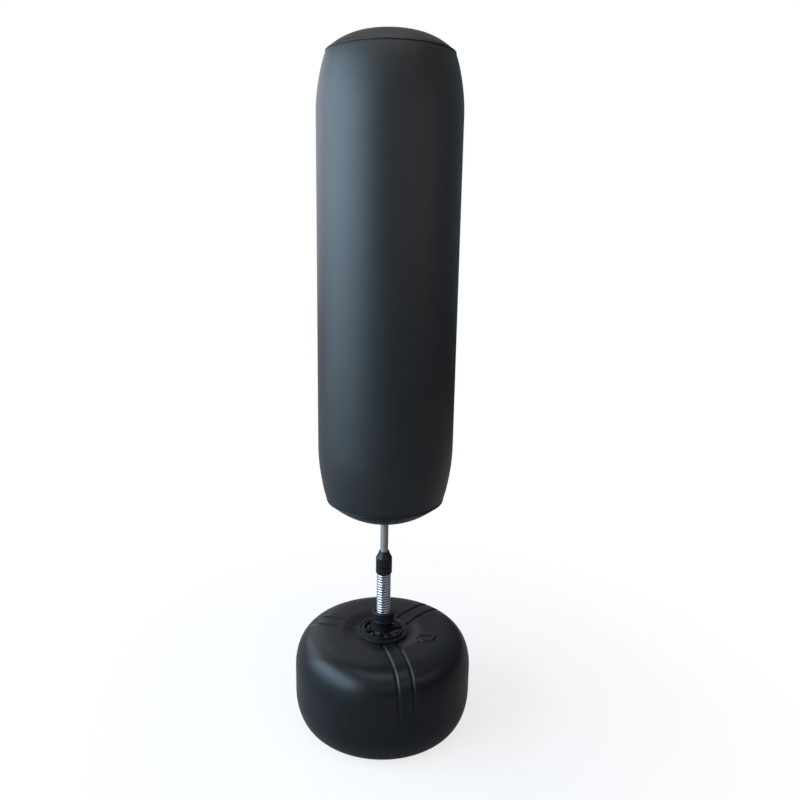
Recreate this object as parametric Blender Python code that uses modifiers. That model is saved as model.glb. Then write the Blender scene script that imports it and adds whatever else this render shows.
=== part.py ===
"""Free-standing inflatable punching bag on a sprung pole and a fillable round base.

Metres, +Z up. The origin is the middle of the base's underside, on the floor. The bag, the pole and
the spring stand on the Z axis, and -Y is the side that faces the viewer.
"""

import math

import bmesh
import bpy
from mathutils import Matrix, Vector

# Base tank
BASE_RADIUS = 0.225
FOOT_RADIUS = 0.186
FOOT_INNER_RADIUS = 0.120
FOOT_RECESS = 0.006
FOOT_STEP = 0.010
LOWER_ROUND_HEIGHT = 0.084
SIDE_TOP = 0.150
CROWN_HEIGHT = 0.2375
CROWN_RADIUS = 0.165
DISH_RADIUS = 0.108
SEAT_HEIGHT = 0.2310
SEAT_MARGIN = 0.006
TANK_WALL = 0.005
SEAT_THICKNESS = 0.018

# Pairs of grooves over the shoulder of the tank
GROOVE_AZIMUTHS_DEG = (-75.0, 45.0, 165.0)
GROOVE_SPACING = 0.038
GROOVE_WIDTH_RADIUS = 0.0040
GROOVE_DEPTH = 0.0031
GROOVE_FULL_HEIGHT = 0.140
GROOVE_END_HEIGHT = 0.088

# Filler neck and its plug
FILLER_RADIUS_OUT = 0.115
FILLER_AZIMUTH_DEG = -17.5
FILLER_BORE = 0.0185
FILLER_NECK_WALL = 0.0060
FILLER_NECK_LENGTH = 0.0200
FILLER_RECESS_DEPTH = 0.0042
FILLER_ROOM = 0.0012
PLUG_HEAD_RADIUS = 0.0240
PLUG_HEAD_HEIGHT = 0.0036
PLUG_STUB_WALL = 0.0045
PLUG_SLOT_WIDTH = 0.0040
PLUG_SLOT_LENGTH = 0.0300
PLUG_SLOT_DEPTH = 0.0014
GASKET_THICKNESS = 0.0018
GASKET_WIDTH = 0.0035

# Flange, ring and hub that hold the foot of the spring
FLANGE_RADIUS = 0.0635
FLANGE_THICKNESS = 0.0042
FLANGE_LIP = 0.0022
FLANGE_LIP_WIDTH = 0.0035
RING_RADIUS = 0.0520
RING_WIDTH = 0.0035
RING_HEIGHT = 0.0062
HUB_WALL = 0.0041
HUB_FOOT_FLARE = 0.0020
HUB_COLLAR_STEP = 0.0060
HUB_COLLAR_HEIGHT = 0.0270
HUB_COLLAR_TAPER = 0.0060
HUB_RISE = 0.0610
CUP_FLOOR_RISE = 0.0155
HUB_WEB = 0.0072
RIB_COUNT = 6
RIB_WIDTH = 0.0036
BOLT_COUNT = 6
BOLT_PHASE_DEG = -75.0
BOLT_SHAFT_RADIUS = 0.0030
BOLT_HEAD_RADIUS = 0.0050
BOLT_HEAD_HEIGHT = 0.0040
BOLT_REACH = 0.0145
BOLT_SOCKET_RADIUS = 0.0025
INSERT_WALL = 0.0018
INSERT_LENGTH = 0.0130
ANCHOR_RADIUS = 0.0050
ANCHOR_HEAD_RADIUS = 0.0090
ANCHOR_HEAD_HEIGHT = 0.0064
ANCHOR_REACH = 0.0200

# Spring
WIRE_DIAMETER = 0.0062
COIL_RADIUS = 0.0149
COIL_PITCH = 0.00685
COIL_POINTS = 10
LOWER_PLUG_PROUD = 0.0080
SPRING_FREE_LENGTH = 0.1045

# Cup, plug and inner tube above the spring
CUP_RADIUS = 0.0205
CUP_SKIRT = 0.0140
CUP_ROOF = 0.0040
CUP_EDGE = 0.0026
CUP_WALL = 0.0020
TOP_PLUG_LENGTH = 0.0320
SPIGOT_LENGTH = 0.0300
POST_RADIUS = 0.0080
POST_WALL = 0.0015
POST_LENGTH = 0.3050
PIN_RADIUS = 0.0015
PIN_HEIGHT_ON_SPIGOT = 0.0200
BUSH_PLUG_LENGTH = 0.0120
BUSH_COLLAR = 0.0030

# Twist lock
LOCK_TRAVEL = 0.0012
NUT_HEIGHT = 0.0215
NUT_FLOOR = 0.0025
NUT_FLUTES = 12
NUT_FLUTE_RADIUS = 0.0020
NUT_FLUTE_DEPTH = 0.0007
THREAD_RADIUS = 0.0165
LOCK_BODY_DEPTH = 0.0163
CONE_HEIGHT = 0.0055
CONE_MOUTH = 0.0130
LOCK_CONE_TOP = 0.0145
LOCK_NECK_RADIUS = 0.0136
LOCK_NECK_HEIGHT = 0.0035
COLLET_FLANGE = 0.0017
COLLET_FLANGE_RADIUS = 0.0145
COLLET_SPLIT = 0.0012

# Pole
POLE_RADIUS = 0.0100
POLE_WALL = 0.0013
POLE_BELOW_SEAM = 0.0525
CAP_RADIUS = 0.0115
CAP_HEIGHT = 0.0120
CAP_PLUG = 0.0200

# Bag
BAG_RADIUS = 0.1636
BAG_LOW_SEAM_HEIGHT = 0.6010
BAG_LOW_SEAM_RADIUS = 0.1432
BAG_LOW_CURVE = 0.1400
BAG_LOW_DOME = 0.0554
BAG_TOP_SEAM_HEIGHT = 1.6200
BAG_TOP_SEAM_RADIUS = 0.1415
BAG_TOP_CURVE = 0.1245
BAG_TOP_DOME = 0.0421
LOW_CURVE_POWER = 2.18
TOP_CURVE_POWER = 2.08
LOW_DOME_POWER = 2.47
TOP_DOME_POWER = 3.06
COVER_THICKNESS = 0.0012
BLADDER_WALL = 0.0008
PIPING_RADIUS = 0.0018
PIPING_PROUD = 0.0008
SLEEVE_RADIUS = 0.0135
POLE_HOLE_RADIUS = 0.0128

# Inflation valve under the bag
VALVE_RADIUS_OUT = 0.0750
VALVE_AZIMUTH_DEG = 60.0
VALVE_BORE = 0.0034
VALVE_NECK_RADIUS = 0.0066
VALVE_NECK_LENGTH = 0.0050
VALVE_FLANGE_RADIUS = 0.0120
VALVE_FLANGE_THICKNESS = 0.0015
VALVE_FLANGE_ROOM = 0.0018
EYELET_WIDTH = 0.0036
EYELET_THICKNESS = 0.0010
STOPPER_HEAD_RADIUS = 0.0072
STOPPER_HEAD_HEIGHT = 0.0028
STOPPER_LENGTH = 0.0075

# Zip at the back of the cover
ZIP_LOW = 0.7800
ZIP_HIGH = 1.1600
ZIP_TAPE_WIDTH = 0.0240
ZIP_TAPE_THICKNESS = 0.0008
ZIP_TEETH_WIDTH = 0.0050
ZIP_TEETH_HEIGHT = 0.0012
SLIDER_WIDTH = 0.0100
SLIDER_LENGTH = 0.0120
SLIDER_HEIGHT = 0.0030
TAB_WIDTH = 0.0060
TAB_LENGTH = 0.0260
TAB_THICKNESS = 0.0012
TAB_EYE_RADIUS = 0.0014
TAB_PIN_RADIUS = 0.0006
TAB_LUG_HEIGHT = 0.0036

# Clearances
SEAT_GAP = 0.0003
SLIP_GAP = 0.0004
SOFT_GAP = 0.0004

# Facets
TANK_STEPS = 36
BAG_STEPS = 28
ROUND_STEPS = 22
SMALL_STEPS = 12
PANEL_RINGS = 7
MERGE = 0.00002

# Values that follow from the ones above
COLLECTION = "inflatable_punching_bag"
SEAT_RADIUS = FLANGE_RADIUS + SEAT_MARGIN
HUB_TOP = SEAT_HEIGHT + HUB_RISE
HUB_CUP_FLOOR = SEAT_HEIGHT + CUP_FLOOR_RISE
PLATE_LOW = SEAT_HEIGHT + SEAT_GAP
PLATE_TOP = PLATE_LOW + FLANGE_THICKNESS
RING_TOP = PLATE_TOP + RING_HEIGHT
LOWER_PLUG_TOP = HUB_TOP + LOWER_PLUG_PROUD
SPRING_TOP = HUB_TOP + SPRING_FREE_LENGTH
SPRING_OUTER = COIL_RADIUS + WIRE_DIAMETER / 2
CUP_BORE = SPRING_OUTER + SLIP_GAP
HUB_STEM_RADIUS = CUP_BORE + HUB_WALL
HUB_FOOT_RADIUS = HUB_STEM_RADIUS + HUB_FOOT_FLARE
HUB_COLLAR_RADIUS = HUB_STEM_RADIUS + HUB_COLLAR_STEP
HUB_COLLAR_LOW = HUB_TOP - HUB_COLLAR_HEIGHT
BOLT_CIRCLE = 0.5 * (HUB_FOOT_RADIUS + RING_RADIUS - RING_WIDTH)
COIL_INNER = COIL_RADIUS * math.cos(math.pi / COIL_POINTS) - WIRE_DIAMETER / 2
PLUG_RADIUS = COIL_INNER - SLIP_GAP
CUP_CEILING = SPRING_TOP + CUP_SKIRT
CUP_TOP = CUP_CEILING + CUP_ROOF
POST_LOW = CUP_TOP + SEAT_GAP
POST_TOP = POST_LOW + POST_LENGTH
POST_BORE = POST_RADIUS - POST_WALL
SPIGOT_RADIUS = POST_BORE - SEAT_GAP
NUT_LOW = CUP_TOP + LOCK_TRAVEL + SEAT_GAP
NUT_TOP = NUT_LOW + NUT_HEIGHT
LOCK_SHOULDER = NUT_TOP + SEAT_GAP
LOCK_BODY_LOW = LOCK_SHOULDER - LOCK_BODY_DEPTH
LOCK_BORE_STEP = LOCK_BODY_LOW + CONE_HEIGHT + 0.0015
LOCK_TOP = LOCK_SHOULDER + LOCK_CONE_TOP + LOCK_NECK_HEIGHT
POLE_LOW = LOCK_BORE_STEP + SEAT_GAP
POLE_BORE = POLE_RADIUS - POLE_WALL
POLE_TOP = BAG_TOP_SEAM_HEIGHT - POLE_BELOW_SEAM
GUIDE_RADIUS = POST_RADIUS + SLIP_GAP
CAP_TOP = POLE_TOP + SEAT_GAP + CAP_HEIGHT
SLEEVE_TOP = CAP_TOP + SEAT_GAP


class Look:
    """Colour, roughness and metallic value of one finish."""

    def __init__(self, name, color, roughness, metallic=0.0):
        self.name, self.color, self.roughness, self.metallic = name, color, roughness, metallic

    def material(self):
        made = bpy.data.materials.get(self.name)
        if made is None:
            made = bpy.data.materials.new(self.name)
            made.use_nodes = True
            shader = made.node_tree.nodes["Principled BSDF"]
            shader.inputs["Base Color"].default_value = (*self.color, 1.0)
            shader.inputs["Roughness"].default_value = self.roughness
            shader.inputs["Metallic"].default_value = self.metallic
            made.diffuse_color = (*self.color, 1.0)
        return made


TANK_PLASTIC = Look("black_polyethylene", (0.020, 0.021, 0.023), 0.42)
HUB_PLASTIC = Look("black_nylon", (0.012, 0.012, 0.013), 0.38)
CHROME = Look("spring_chrome", (0.78, 0.78, 0.82), 0.14, 1.0)
STEEL = Look("satin_steel", (0.30, 0.30, 0.31), 0.38, 1.0)
DARK_STEEL = Look("black_oxide_steel", (0.05, 0.05, 0.055), 0.40, 1.0)
BRASS = Look("brass", (0.60, 0.43, 0.18), 0.30, 1.0)
LEATHERETTE = Look("black_leatherette", (0.018, 0.019, 0.021), 0.45)
RUBBER = Look("black_rubber", (0.015, 0.015, 0.015), 0.75)
VINYL = Look("grey_vinyl", (0.20, 0.20, 0.21), 0.45)
TAPE = Look("zip_tape", (0.012, 0.012, 0.012), 0.85)


def clear_scene():
    """Removes everything that a new file holds."""
    for obj in list(bpy.data.objects):
        bpy.data.objects.remove(obj, do_unlink=True)


def collection(name):
    """The collection of this name, linked to the scene."""
    found = bpy.data.collections.get(name) or bpy.data.collections.new(name)
    if name not in bpy.context.scene.collection.children:
        bpy.context.scene.collection.children.link(found)
    return found


def add(name, data, look=None, parent=None):
    """A new object in the parts collection, or in the cutters' where it has no look."""
    obj = bpy.data.objects.new(name, data)
    if look is None:
        collection("cutters").objects.link(obj)
        obj.hide_render = True
        obj.display_type = "WIRE"
    else:
        collection(COLLECTION).objects.link(obj)
        if data is not None:
            data.materials.append(look.material())
    if parent is not None:
        obj.parent = parent
    return obj


def empty(name, location, rotation=(0.0, 0.0, 0.0)):
    """An empty on a joint's axis."""
    obj = bpy.data.objects.new(name, None)
    obj.empty_display_size = 0.02
    obj.location = location
    obj.rotation_euler = rotation
    collection(COLLECTION).objects.link(obj)
    return obj


def turned(name, outline, look=None, steps=ROUND_STEPS, parent=None):
    """A body of revolution: the outline runs down its outer side, then up its inner side or to the axis."""
    on_axis = outline[0][0] < MERGE and outline[-1][0] < MERGE
    mesh = bpy.data.meshes.new(name)
    edges = [(i, i + 1) for i in range(len(outline) - 1)]
    if not on_axis:
        edges.append((len(outline) - 1, 0))
    mesh.from_pydata([(r, 0.0, z) for r, z in outline], edges, [])
    obj = add(name, mesh, look, parent)
    screw = obj.modifiers.new("Turn", "SCREW")
    screw.axis = "Z"
    screw.angle = 2 * math.pi
    screw.steps = screw.render_steps = steps
    screw.use_merge_vertices = True
    screw.merge_threshold = MERGE
    screw.use_smooth_shade = True
    return obj


def solid(name, look, build, parent=None):
    """An object whose mesh a bmesh function fills."""
    mesh = bpy.data.meshes.new(name)
    bm = bmesh.new()
    build(bm)
    bm.to_mesh(mesh)
    bm.free()
    return add(name, mesh, look, parent)


def cylinder(bm, radius, low, high, steps=SMALL_STEPS, at=(0.0, 0.0), top_radius=None):
    """An upright cylinder or cone between two heights."""
    place = Matrix.Translation((at[0], at[1], (low + high) / 2))
    bmesh.ops.create_cone(
        bm, cap_ends=True, cap_tris=False, segments=steps, radius1=radius,
        radius2=radius if top_radius is None else top_radius, depth=high - low, matrix=place,
    )


def block(bm, size, centre, turn=None):
    """A box of this size about a point, turned about the Z axis through the origin where asked."""
    place = Matrix.Translation(centre) @ Matrix.Diagonal((*size, 1.0))
    if turn is not None:
        place = Matrix.Rotation(turn, 4, "Z") @ place
    bmesh.ops.create_cube(bm, size=1.0, matrix=place)


def boolean(obj, operation, *others):
    """Cuts, or joins to, an object with each of the others."""
    for other in others:
        made = obj.modifiers.new(other.name, "BOOLEAN")
        made.operation = operation
        made.object = other
        made.solver = "EXACT"


def on_circle(radius, angle):
    return radius * math.cos(angle), radius * math.sin(angle)


def around(count, phase_deg=0.0):
    """Angles evenly round the axis."""
    return [math.radians(phase_deg) + 2 * math.pi * k / count for k in range(count)]


def sampled(function, start, end, count):
    """Points of a function of one number, both ends included."""
    return [function(start + (end - start) * k / (count - 1)) for k in range(count)]


def offset_outline(points, distance):
    """A profile moved square to itself, to the side that is inward for a profile running downwards."""
    moved = []
    for i, (r, z) in enumerate(points):
        r0, z0 = points[max(i - 1, 0)]
        r1, z1 = points[min(i + 1, len(points) - 1)]
        dr, dz = r1 - r0, z1 - z0
        length = math.hypot(dr, dz)
        moved.append((r + distance * dz / length, z - distance * dr / length))
    return moved


def tank_shoulder(t):
    """The shoulder as a quarter ellipse: 0 at the crown, 1 where the side starts."""
    a = t * math.pi / 2
    width, height = BASE_RADIUS - CROWN_RADIUS, CROWN_HEIGHT - SIDE_TOP
    return CROWN_RADIUS + width * math.sin(a), SIDE_TOP + height * math.cos(a)


def tank_low_round(t):
    """The rounding under the side: 0 at the side, 1 at the foot."""
    a = t * math.pi / 2
    return (FOOT_RADIUS + (BASE_RADIUS - FOOT_RADIUS) * math.cos(a),
            LOWER_ROUND_HEIGHT * (1 - math.sin(a)))


def tank_dish(t):
    """The shallow dish round the flange: 0 at the seat, 1 at the crown."""
    rise = t * t * (3 - 2 * t)
    return (SEAT_RADIUS + (DISH_RADIUS - SEAT_RADIUS) * t,
            SEAT_HEIGHT + (CROWN_HEIGHT - SEAT_HEIGHT) * rise)


def tank_skin():
    """The tank's outer profile from the rim of the seat down to the foot."""
    return (sampled(tank_dish, 0.0, 1.0, 4) + sampled(tank_shoulder, 0.0, 1.0, 7)
            + sampled(tank_low_round, 0.0, 1.0, 6))


def skin_at(distance):
    """Point and outward normal of the tank's skin at a length along it from the rim of the seat."""
    points = (sampled(tank_dish, 0.0, 1.0, 25) + sampled(tank_shoulder, 0.0, 1.0, 41)
              + sampled(tank_low_round, 0.0, 1.0, 21))
    gone = 0.0
    for (r0, z0), (r1, z1) in zip(points, points[1:]):
        step = math.hypot(r1 - r0, z1 - z0)
        if gone + step >= distance and step > 0:
            k = (distance - gone) / step
            return (r0 + k * (r1 - r0), z0 + k * (z1 - z0)), (-(z1 - z0) / step, (r1 - r0) / step)
        gone += step
    return points[-1], (0.0, -1.0)


def as_cutter(curve_object):
    """A curve object's evaluated, welded mesh as a cutter; the curve goes."""
    graph = bpy.context.evaluated_depsgraph_get()
    mesh = bpy.data.meshes.new_from_object(curve_object.evaluated_get(graph))
    bm = bmesh.new()
    bm.from_mesh(mesh)
    bmesh.ops.remove_doubles(bm, verts=bm.verts, dist=MERGE)
    bmesh.ops.recalc_face_normals(bm, faces=bm.faces)
    bm.to_mesh(mesh)
    bm.free()
    mesh.materials.clear()
    name = curve_object.name + "_cutter"
    place = curve_object.matrix_world.copy()
    bpy.data.objects.remove(curve_object, do_unlink=True)
    cutter = add(name, mesh)
    cutter.matrix_world = place
    return cutter


def tube_curve(name, paths, radius, resolution):
    """A curve object with one round tube along each list of points."""
    data = bpy.data.curves.new(name, "CURVE")
    data.dimensions = "3D"
    data.bevel_depth = radius
    data.bevel_resolution = resolution
    data.use_fill_caps = True
    for points in paths:
        spline = data.splines.new("POLY")
        spline.points.add(len(points) - 1)
        for slot, point in zip(spline.points, points):
            slot.co = (*point, 1.0)
    return data


def groove_paths():
    """Centre lines of the tubes that cut the grooves: parallel pairs that run out over the skin and fade."""
    paths = []
    last = 0.0
    while skin_at(last)[0][1] > GROOVE_END_HEIGHT:
        last += 0.002
    for azimuth in GROOVE_AZIMUTHS_DEG:
        turn = math.radians(azimuth)
        for side in (-0.5, 0.5):
            points = []
            count = 11
            for k in range(count):
                (r, z), (nr, nz) = skin_at(last * (k + 0.2) / (count - 0.8))
                fade = max(0.0, (GROOVE_FULL_HEIGHT - z) / (GROOVE_FULL_HEIGHT - GROOVE_END_HEIGHT))
                lift = GROOVE_WIDTH_RADIUS - GROOVE_DEPTH * (1 - fade ** 1.5)
                r, z = r + nr * lift, z + nz * lift
                across = side * GROOVE_SPACING
                along = math.sqrt(r * r - across * across)
                points.append((along * math.cos(turn) - across * math.sin(turn),
                               along * math.sin(turn) + across * math.cos(turn), z))
            paths.append(points)
    return paths


def filler_centre():
    return on_circle(FILLER_RADIUS_OUT, math.radians(FILLER_AZIMUTH_DEG))


def build_tank():
    """The hollow tank with its foot, seat, grooves, filler neck and insert holes."""
    skin = tank_skin()
    inner_skin = offset_outline(skin, TANK_WALL)
    inner_skin = inner_skin[:3] + inner_skin[3::2]
    inner_skin = [(r, max(z, FOOT_RECESS + TANK_WALL)) for r, z in inner_skin]
    boss_radius = SEAT_RADIUS - TANK_WALL
    boss_low = SEAT_HEIGHT - SEAT_THICKNESS
    outline = [(0.0, SEAT_HEIGHT)] + skin + [
        (FOOT_INNER_RADIUS, 0.0),
        (FOOT_INNER_RADIUS - FOOT_STEP, FOOT_RECESS),
        (0.0, FOOT_RECESS),
    ]
    cavity = [(0.0, boss_low), (boss_radius, boss_low)] + inner_skin + [(0.0, FOOT_RECESS + TANK_WALL)]
    tank = turned("base_tank", outline, TANK_PLASTIC, TANK_STEPS)
    x, y = filler_centre()
    neck_low = CROWN_HEIGHT - FILLER_RECESS_DEPTH - FILLER_NECK_LENGTH
    recess = CROWN_HEIGHT - FILLER_RECESS_DEPTH
    neck_radius = FILLER_BORE + FILLER_NECK_WALL
    hollow = turned("tank_cavity", cavity, None, TANK_STEPS)
    neck = solid("filler_neck_shape", None, lambda bm: cylinder(
        bm, neck_radius, neck_low, CROWN_HEIGHT + 0.01, ROUND_STEPS, (x, y)))
    boolean(hollow, "DIFFERENCE", neck)
    boolean(tank, "DIFFERENCE", hollow)
    bore = solid("filler_bore", None, lambda bm: cylinder(
        bm, FILLER_BORE, neck_low - 0.01, CROWN_HEIGHT + 0.01, ROUND_STEPS, (x, y)))
    seat = solid("filler_recess", None, lambda bm: cylinder(
        bm, PLUG_HEAD_RADIUS + FILLER_ROOM, recess, CROWN_HEIGHT + 0.01, ROUND_STEPS, (x, y)))

    def insert_holes(bm):
        for angle in around(BOLT_COUNT, BOLT_PHASE_DEG):
            cylinder(bm, BOLT_SHAFT_RADIUS + SLIP_GAP + INSERT_WALL + SEAT_GAP,
                     SEAT_HEIGHT - INSERT_LENGTH - 2 * SEAT_GAP, SEAT_HEIGHT + 0.004, SMALL_STEPS,
                     on_circle(BOLT_CIRCLE, angle))

    holes = solid("insert_holes", None, insert_holes)
    grooves = add("groove_path", tube_curve("groove_path", groove_paths(), GROOVE_WIDTH_RADIUS, 1))
    grooves_cutter = as_cutter(grooves)
    boolean(tank, "DIFFERENCE", bore, seat, holes, grooves_cutter)

    wall_out = BOLT_SHAFT_RADIUS + SLIP_GAP + INSERT_WALL
    insert_top = SEAT_HEIGHT - SEAT_GAP
    for number, angle in enumerate(around(BOLT_COUNT, BOLT_PHASE_DEG), 1):
        insert = turned(f"base_insert_{number}", [
            (wall_out, insert_top), (wall_out, insert_top - INSERT_LENGTH),
            (BOLT_SHAFT_RADIUS + SLIP_GAP, insert_top - INSERT_LENGTH), (BOLT_SHAFT_RADIUS + SLIP_GAP, insert_top),
        ], BRASS, SMALL_STEPS)
        insert.location = (*on_circle(BOLT_CIRCLE, angle), 0.0)


def build_filler():
    """The screwed filler plug and the gasket under its head, on the neck's own axis."""
    x, y = filler_centre()
    axis = empty("filler_axis", (x, y, 0.0))
    recess = CROWN_HEIGHT - FILLER_RECESS_DEPTH
    gasket_low = recess + SEAT_GAP
    head_low = gasket_low + GASKET_THICKNESS + SEAT_GAP
    head_top = head_low + PLUG_HEAD_HEIGHT
    stub = FILLER_BORE - SLIP_GAP
    low = recess - FILLER_NECK_LENGTH + 0.001
    rim = 0.0016
    plug = turned("filler_plug", [
        (0.0, head_top), (PLUG_HEAD_RADIUS - rim, head_top), (PLUG_HEAD_RADIUS - rim * 0.3, head_top - rim * 0.3),
        (PLUG_HEAD_RADIUS, head_top - rim), (PLUG_HEAD_RADIUS, head_low), (stub, head_low),
        (stub, low + 0.001), (stub - 0.001, low), (stub - PLUG_STUB_WALL, low),
        (stub - PLUG_STUB_WALL, head_low), (0.0, head_low),
    ], HUB_PLASTIC, ROUND_STEPS, axis)
    slot = solid("filler_slot", None, lambda bm: block(
        bm, (PLUG_SLOT_LENGTH, PLUG_SLOT_WIDTH, 2 * PLUG_SLOT_DEPTH), (0.0, 0.0, head_top)), axis)
    boolean(plug, "DIFFERENCE", slot)
    inner = stub + SEAT_GAP
    turned("filler_gasket", [
        (inner + GASKET_WIDTH, gasket_low + GASKET_THICKNESS), (inner + GASKET_WIDTH, gasket_low),
        (inner, gasket_low), (inner, gasket_low + GASKET_THICKNESS),
    ], RUBBER, ROUND_STEPS, axis)


def build_flange():
    """The flange that is bolted to the tank, with its ring, ribs and the cup for the spring."""
    lip_top = PLATE_TOP + FLANGE_LIP
    inner = RING_RADIUS - RING_WIDTH
    head_room = HUB_CUP_FLOOR - HUB_WEB
    flange = turned("socket_flange", [
        (HUB_COLLAR_RADIUS, HUB_TOP - 0.0015), (HUB_COLLAR_RADIUS, HUB_COLLAR_LOW),
        (HUB_STEM_RADIUS, HUB_COLLAR_LOW - HUB_COLLAR_TAPER), (HUB_STEM_RADIUS, PLATE_TOP + HUB_FOOT_FLARE),
        (HUB_FOOT_RADIUS, PLATE_TOP),
        (inner, PLATE_TOP), (inner, RING_TOP - 0.0010), (inner + 0.0010, RING_TOP), (RING_RADIUS - 0.0010, RING_TOP),
        (RING_RADIUS, RING_TOP - 0.0010), (RING_RADIUS, PLATE_TOP),
        (FLANGE_RADIUS - FLANGE_LIP_WIDTH, PLATE_TOP), (FLANGE_RADIUS - 0.0022, lip_top),
        (FLANGE_RADIUS - 0.0006, lip_top), (FLANGE_RADIUS, lip_top - 0.0008),
        (FLANGE_RADIUS, PLATE_LOW), (ANCHOR_HEAD_RADIUS + 0.0015, PLATE_LOW),
        (ANCHOR_HEAD_RADIUS + 0.0015, head_room), (ANCHOR_RADIUS + SLIP_GAP, head_room),
        (ANCHOR_RADIUS + SLIP_GAP, HUB_CUP_FLOOR), (CUP_BORE, HUB_CUP_FLOOR),
        (CUP_BORE, HUB_TOP - 0.0010), (CUP_BORE + 0.0010, HUB_TOP), (HUB_COLLAR_RADIUS - 0.0015, HUB_TOP),
    ], HUB_PLASTIC, ROUND_STEPS + 2)

    def ribs(bm):
        low = PLATE_TOP - 0.001
        for angle in around(RIB_COUNT, BOLT_PHASE_DEG + 180.0 / BOLT_COUNT):
            start = HUB_STEM_RADIUS - HUB_WALL / 2
            reach = inner + RING_WIDTH / 2 - start
            middle = start + reach / 2
            block(bm, (reach, RIB_WIDTH, RING_TOP - 0.0016 - low), (middle, 0.0, (RING_TOP - 0.0016 + low) / 2), angle)

    def bolt_holes(bm):
        for angle in around(BOLT_COUNT, BOLT_PHASE_DEG):
            cylinder(bm, BOLT_SHAFT_RADIUS + SLIP_GAP, PLATE_LOW - 0.002, PLATE_TOP + 0.002, SMALL_STEPS,
                     on_circle(BOLT_CIRCLE, angle))

    rib_shape = solid("flange_ribs", None, ribs)
    cup_again = solid("cup_clearance", None, lambda bm: cylinder(
        bm, CUP_BORE, HUB_CUP_FLOOR, HUB_TOP - 0.002, ROUND_STEPS + 2))
    boolean(rib_shape, "DIFFERENCE", cup_again)
    boolean(flange, "UNION", rib_shape)
    boolean(flange, "DIFFERENCE", solid("flange_holes", None, bolt_holes))

    seat = PLATE_TOP + SEAT_GAP
    bolt_top = seat + BOLT_HEAD_HEIGHT
    for number, angle in enumerate(around(BOLT_COUNT, BOLT_PHASE_DEG), 1):
        bolt = turned(f"flange_bolt_{number}", [
            (0.0, bolt_top), (BOLT_HEAD_RADIUS * 0.8, bolt_top), (BOLT_HEAD_RADIUS, bolt_top - BOLT_HEAD_HEIGHT * 0.4),
            (BOLT_HEAD_RADIUS, seat), (BOLT_SHAFT_RADIUS, seat), (BOLT_SHAFT_RADIUS, seat - BOLT_REACH),
            (0.0, seat - BOLT_REACH),
        ], DARK_STEEL, SMALL_STEPS)
        bolt.location = (*on_circle(BOLT_CIRCLE, angle), 0.0)
        boolean(bolt, "DIFFERENCE", solid(f"bolt_socket_{number}", None, lambda bm: cylinder(
            bm, BOLT_SOCKET_RADIUS, bolt_top - BOLT_HEAD_HEIGHT * 0.6, bolt_top + 0.001, 6), bolt))

    head_top = head_room - SEAT_GAP
    head_low = head_top - ANCHOR_HEAD_HEIGHT
    anchor = turned("anchor_bolt", [
        (0.0, head_top + HUB_WEB + ANCHOR_REACH), (ANCHOR_RADIUS - 0.0008, head_top + HUB_WEB + ANCHOR_REACH),
        (ANCHOR_RADIUS, head_top + HUB_WEB + ANCHOR_REACH - 0.0008),
        (ANCHOR_RADIUS, head_top), (ANCHOR_HEAD_RADIUS, head_top), (ANCHOR_HEAD_RADIUS, head_low), (0.0, head_low),
    ], STEEL, SMALL_STEPS + 4)
    boolean(anchor, "DIFFERENCE", solid("anchor_socket", None, lambda bm: cylinder(
        bm, ANCHOR_RADIUS * 0.8, head_low - 0.001, head_low + ANCHOR_HEAD_HEIGHT * 0.6, 6)))


def coil_path():
    """The spring's centre line: a straight foot, an even helix and a straight end, all one wire."""
    foot = HUB_CUP_FLOOR + SEAT_GAP
    head = CUP_CEILING - SEAT_GAP
    first = foot + WIRE_DIAMETER * 1.5
    last = head - WIRE_DIAMETER * 1.5
    turns = (last - first) / COIL_PITCH
    lead = 0.06
    count = int(round(COIL_POINTS * (turns - 2 * lead)))
    points = [Vector((COIL_RADIUS, 0.0, foot)), Vector((COIL_RADIUS, 0.0, foot + WIRE_DIAMETER))]
    for k in range(count + 1):
        t = lead + (turns - 2 * lead) * k / count
        x, y = on_circle(COIL_RADIUS, 2 * math.pi * t)
        points.append(Vector((x, y, first + (last - first) * t / turns)))
    x, y = on_circle(COIL_RADIUS, 2 * math.pi * turns)
    points += [Vector((x, y, head - WIRE_DIAMETER)), Vector((x, y, head))]
    return points, turns


def least_gap(points, diameter, skip):
    """Least distance between the surfaces of a tube's runs that lie more than so many points apart."""
    fine = []
    for a, b in zip(points, points[1:]):
        fine += [(a.lerp(b, k / 4), k / 4) for k in range(4)]
    best = 1.0
    for i in range(len(fine)):
        for j in range(i + skip * 4, min(len(fine), i + skip * 4 + 60)):
            best = min(best, (fine[i][0] - fine[j][0]).length)
    return best - diameter


def build_spring():
    """The coil and the plug inside its foot."""
    points, turns = coil_path()
    print(f"spring turns {turns:.2f}, least gap to itself {least_gap(points, WIRE_DIAMETER, 5) * 1000:.3f} mm")
    add("spring", tube_curve("spring", [points], WIRE_DIAMETER / 2, 1), CHROME)
    low = HUB_CUP_FLOOR + SEAT_GAP
    bore = ANCHOR_RADIUS + SEAT_GAP
    bore_top = HUB_CUP_FLOOR + ANCHOR_REACH + 0.002
    turned("spring_lower_plug", [
        (0.0, LOWER_PLUG_TOP), (PLUG_RADIUS - 0.002, LOWER_PLUG_TOP), (PLUG_RADIUS, LOWER_PLUG_TOP - 0.003),
        (PLUG_RADIUS, low), (bore, low), (bore, bore_top), (0.0, bore_top + 0.002),
    ], STEEL, SMALL_STEPS + 6)


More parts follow.
